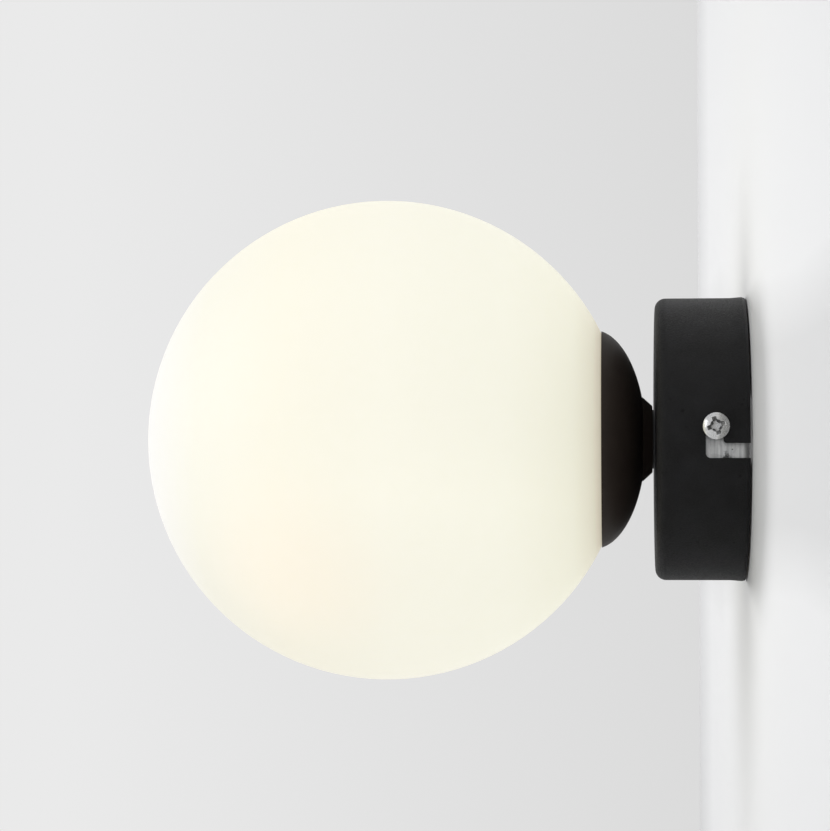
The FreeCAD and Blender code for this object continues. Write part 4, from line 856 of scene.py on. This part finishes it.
# %% [markdown]
# The two lock screws hold the canopy on the bracket's ears. The right one is seen in the slot that
# faces the camera: a small pan head with a cross recess, turned a little out of the upright.

# %% Lock screws
RECESS_TURN = math.radians(17)
lock_screw = screw("lock_screw", pan_head(4.0, 1.3, 3.04), 2.0, 0.7, 8.0, cut_cross, 8.0, 1.5, 2.1, 64)
put(lock_screw, "right_lock_screw", (44.0, -10.14, 0), "+X", "right_screw", bright_zinc,
    "lock_screw_right", turn=RECESS_TURN)
put(lock_screw, "left_lock_screw", (-44.0, -10.14, 0), "-X", "left_screw", bright_zinc,
    "lock_screw_left", turn=0.6)
used(lock_screw)

# %% [markdown]
# Two brass earth screws, one on the bracket and one on the terminal plate, have cheese heads.

# %% Earth screws
earth = screw("earth", cheese_head(3.9, 2.4), 2.0, 0.7, 3.6, cut_cross, 4.3, 1.0, 1.5)
put(earth, "earth_screw_on_bracket", (-12.5, -3.8, 0), "front", "wall_bracket", brass,
    "bracket_earth_screw", turn=0.5)
used(earth)
earth = screw("earth", cheese_head(3.9, 2.4), 2.0, 0.7, 1.8, cut_cross, 4.3, 1.0, 1.5)
put(earth, "earth_screw_on_plate", (16.0, -24.6, 8.0), "wall", "lamp_head", brass,
    "plate_earth_screw", turn=0.25)
used(earth)

# %% [markdown]
# The terminal block has six slotted clamp screws and one fixing screw with a cross. The screws
# were not all tightened alike, so each slot stands at its own angle.

# %% Terminal screws
clamp = screw("clamp", cheese_head(1.9, 1.5), 1.4, 0.5, 3.3, cut_slot, 3.8, 0.6, 0.8, 32)
angles = iter((0.3, 1.1, -0.4, 0.8, -0.9, 0.1))
for pole, x in enumerate((-10, 0, 10), 1):
    for row, z in enumerate((-21, -29), 1):
        put(clamp, "clamp_screw_%d_%d" % (pole, row), (x, -14.6, z), "wall", "lamp_head", zinc_plated,
            "clamp_screws", turn=next(angles))
used(clamp)
fixing = screw("fixing", pan_head(2.1, 0.5, 1.56), 1.25, 0.6, 12.4, cut_cross, 2.4, 0.6, 1.0, 32)
put(fixing, "fixing_screw", (-5, -14.0, -25), "wall", "lamp_head", zinc_plated, "block_screw",
    turn=0.2)
used(fixing)

# %% [markdown]
# Two longer screws hold the lampholder on its bracket, inside the globe.

# %% Lampholder screws
holder = screw("holder", cheese_head(2.7, 2.0), 1.5, 0.5, 16.8, cut_slot, 5.4, 0.8, 1.0, 32)
for name, side in (("left", -1), ("right", 1)):
    put(holder, "lampholder_screw_" + name, (side * 13, -60.2, 0), "front", "lamp_head", zinc_plated,
        "holder_screws", turn=0.4 * side)
used(holder)

# %% [markdown]
# The whole stack is clamped on one hollow threaded tube by two flat nuts. A nut is a six-sided
# bar that is trimmed by a turned shape, which rounds off its six corners at both ends, and the
# tube's hole is cut out of it.

# %% Nuts and tube
NUT_FLATS, NUT_HEIGHT, TUBE_RADIUS = 14.0, 3.0, 5.0
select_nothing()
corner_radius = NUT_FLATS / math.sqrt(3)
bpy.ops.mesh.primitive_cylinder_add(vertices=6, radius=corner_radius * MM, depth=NUT_HEIGHT * MM,
                                    location=(0, 0, NUT_HEIGHT / 2 * MM))
bpy.ops.object.transform_apply(location=True, rotation=True, scale=True)
nut = bpy.context.object
beyond = corner_radius + 0.1
trim = turned("trim", [(6.6, -0.01), (6.7, 0), (beyond, 0.85), (beyond, 2.15), (6.7, NUT_HEIGHT),
                       (6.6, NUT_HEIGHT + 0.01)], 96)
combine(nut, trim, "INTERSECT")
hole = turned("hole", [(5.9, -0.2), (5.05, 0.5), (5.05, 2.5), (5.9, 3.2)], 64)
combine(nut, hole, "DIFFERENCE")
work_on(nut)
bpy.ops.object.shade_smooth_by_angle(angle=math.radians(25))
put(nut, "nut_rear", (0, -24.6, 0), "wall", "lamp_head", zinc_plated, "rear_nut")
put(nut, "nut_front", (0, -35.5, 0), "front", "lamp_head", zinc_plated, "front_nut")
used(nut)

tube = threaded("tube", TUBE_RADIUS, 1.0, 18.9)
combine(tube, turned("bore", [(4.0, -19.5), (4.0, 0.5)], 48), "DIFFERENCE")
work_on(tube)
bpy.ops.object.shade_smooth_by_angle(angle=math.radians(32))
put(tube, "stem_tube", (0, -20.6, 0), "wall", "lamp_head", zinc_plated, "threaded_tube")
used(tube)

# %% [markdown]
# ## Stage
# The light hangs on a pale wall that ends not far behind it. A pale backdrop stands further off,
# and a pale floor lies below.

# %% Stage
stage_sheets = []


def stage_sheet(name, corners, material):
    mesh = bpy.data.meshes.new(name)
    mesh.from_pydata(corners, [], [(0, 1, 2, 3)])
    mesh.materials.append(material)
    sheet = bpy.data.objects.new(name, mesh)
    scene.collection.objects.link(sheet)
    stage_sheets.append(sheet)
    print("stage:", name)
    return sheet


def matt(name, **constants):
    """A matt paint, with the paint's own light as a socket, ready to be mixed."""
    material, tree, surface, place = shader(name, Roughness=0.9, Specular_IOR_Level=0.1, **constants)
    return material, tree, surface, tree.nodes["Principled BSDF"].outputs["BSDF"], place


# %% [markdown]
# The photographed wall isn't evenly lit. Its paint follows that: it is a little darker in a band
# behind the canopy, which widens away from the camera, and it fades towards the wall's far edge,
# which looks soft. The wall can't be seen from behind, so that the light's back stays in view.

# %% Wall
WALL_END = -0.495
WALL_FADE = 0.18
WALL_REACH = 3
HALF_BAND = 0.08

wall_paint, tree, surface, plaster, place = matt("wall_paint")
nearer = coordinate(tree, place, "X")
level = sums(tree, "MULTIPLY", vectors(tree, "DOT_PRODUCT", place, PHOTO_UP),
             stretch(tree, nearer, 0.7, 1.35, -0.2, 0.25))
shade = colour_steps(tree, stretch(tree, level, 0.0, 1.0, -HALF_BAND, HALF_BAND), [
    (0.19, paint(207, 207, 207)), (0.33, paint(189, 189, 189)), (0.67, paint(189, 189, 189)),
    (0.81, paint(207, 207, 207)),
])
fade = stretch(tree, nearer, 0.8, 1.0, WALL_END, WALL_END + WALL_FADE)
shade = add(tree, "ShaderNodeVectorMath", {0: shade, "Scale": fade}, operation="SCALE").outputs[0]
fill(tree, surface["Base Color"], shade)
rays = add(tree, "ShaderNodeLightPath").outputs
behind = sums(tree, "MULTIPLY", add(tree, "ShaderNodeNewGeometry").outputs["Backfacing"],
              rays["Is Camera Ray"])
clear = add(tree, "ShaderNodeBsdfTransparent").outputs["BSDF"]
seen = add(tree, "ShaderNodeMixShader", {0: behind, 1: plaster, 2: clear}).outputs["Shader"]
tree.links.new(seen, tree.nodes["Material Output"].inputs["Surface"])

far_foot = Vector((WALL_END, 0.0005, 0))
near_foot = far_foot + Vector((WALL_REACH, 0, 0))
rise = PHOTO_UP * WALL_REACH
wall = stage_sheet("wall", [far_foot - rise, near_foot - rise, near_foot + rise, far_foot + rise],
                   wall_paint)

# %% [markdown]
# The backdrop gives the picture its pale ground, so what the camera and the gloss see of it is a
# painted glow of its own, with painted shade a little darker towards the wall. It throws no shadow.

# %% Backdrop and floor
backdrop_paint, tree, surface, plaster, place = matt("backdrop_paint",
                                                     Base_Color=paint(228, 228, 228))
rays = add(tree, "ShaderNodeLightPath").outputs
direct = sums(tree, "MAXIMUM", sums(tree, "MAXIMUM", rays["Is Camera Ray"], rays["Is Glossy Ray"]),
              rays["Is Transmission Ray"])
towards_wall = stretch(tree, coordinate(tree, place, "Y"), 0.0, 1.0, -0.55, 0.12)
# Painted shade: the backdrop's glow is darker towards the wall.
shade = mix_colour(tree, towards_wall, paint(234, 234, 234), paint(217, 217, 217))
plain = add(tree, "ShaderNodeEmission", {"Color": shade, "Strength": 1.0}).outputs["Emission"]
seen = add(tree, "ShaderNodeMixShader", {0: direct, 1: plaster, 2: plain}).outputs["Shader"]
tree.links.new(seen, tree.nodes["Material Output"].inputs["Surface"])
backdrop = stage_sheet("backdrop", [(-1.6, 3, -3), (-1.6, -4, -3), (-1.6, -4, 3), (-1.6, 3, 3)],
                       backdrop_paint)
backdrop.visible_shadow = False

floor_paint = matt("floor_paint", Base_Color=paint(232, 232, 232))[0]
stage_sheet("floor", [(-3, -4, -0.6), (3, -4, -0.6), (3, 3, -0.6), (-3, 3, -0.6)], floor_paint)

# %% [markdown]
# ## The shadow on the wall
# The canopy throws a soft shadow along the wall towards the camera, about 87 mm long, so its
# light comes from the far side and stands only about 18 degrees over the wall. It is a lamp for the
# wall alone: light linking lets it light the wall, and only the canopy and the collar stop it.

# %% Wall lamp
def linked(name, members):
    """A collection for light linking. It isn't part of the scene itself."""
    group = bpy.data.collections.new(name)
    for member in members:
        group.objects.link(member)
    return group


LOW_LIGHT = math.radians(17.6)
from_far_side = (-math.cos(LOW_LIGHT), AIM.y - math.sin(LOW_LIGHT), 0.12)
wall_lamp = lamp("wall_lamp", "SUN", from_far_side, 2.3, angle=math.radians(11))
wall_lamp.light_linking.receiver_collection = linked("lit_by_wall_lamp", [wall])
wall_lamp.light_linking.blocker_collection = linked(
    "shades_wall_lamp", [nodes["canopy"], nodes["neck_collar"]])

# %% [markdown]
# ## Light for the back
# The wall would keep the canopy's open back dark, and there is much to see in it. One more soft
# lamp stands behind the wall, and the wall doesn't stop it. It leaves out the globe, the cap, the
# collar and the lock screws, which are seen from the front and would get a false pale edge.

# %% Back lamp
FRONT_PIECES = ("globe", "cap", "neck_collar", "right_lock_screw", "left_lock_screw")
pieces = [thing for thing in scene.objects if thing.type == "MESH" and thing not in stage_sheets]
back_pieces = [thing for thing in pieces if thing.name not in FRONT_PIECES]
back_lamp = lamp("back_lamp", "AREA", (-0.3, 0.8, 0.45), 16.0, size=2.4)
back_lamp.light_linking.receiver_collection = linked("lit_by_back_lamp", back_pieces)
back_lamp.light_linking.blocker_collection = linked("shades_back_lamp", pieces)
print("pieces that the back lamp lights:", len(back_pieces), "of", len(pieces))
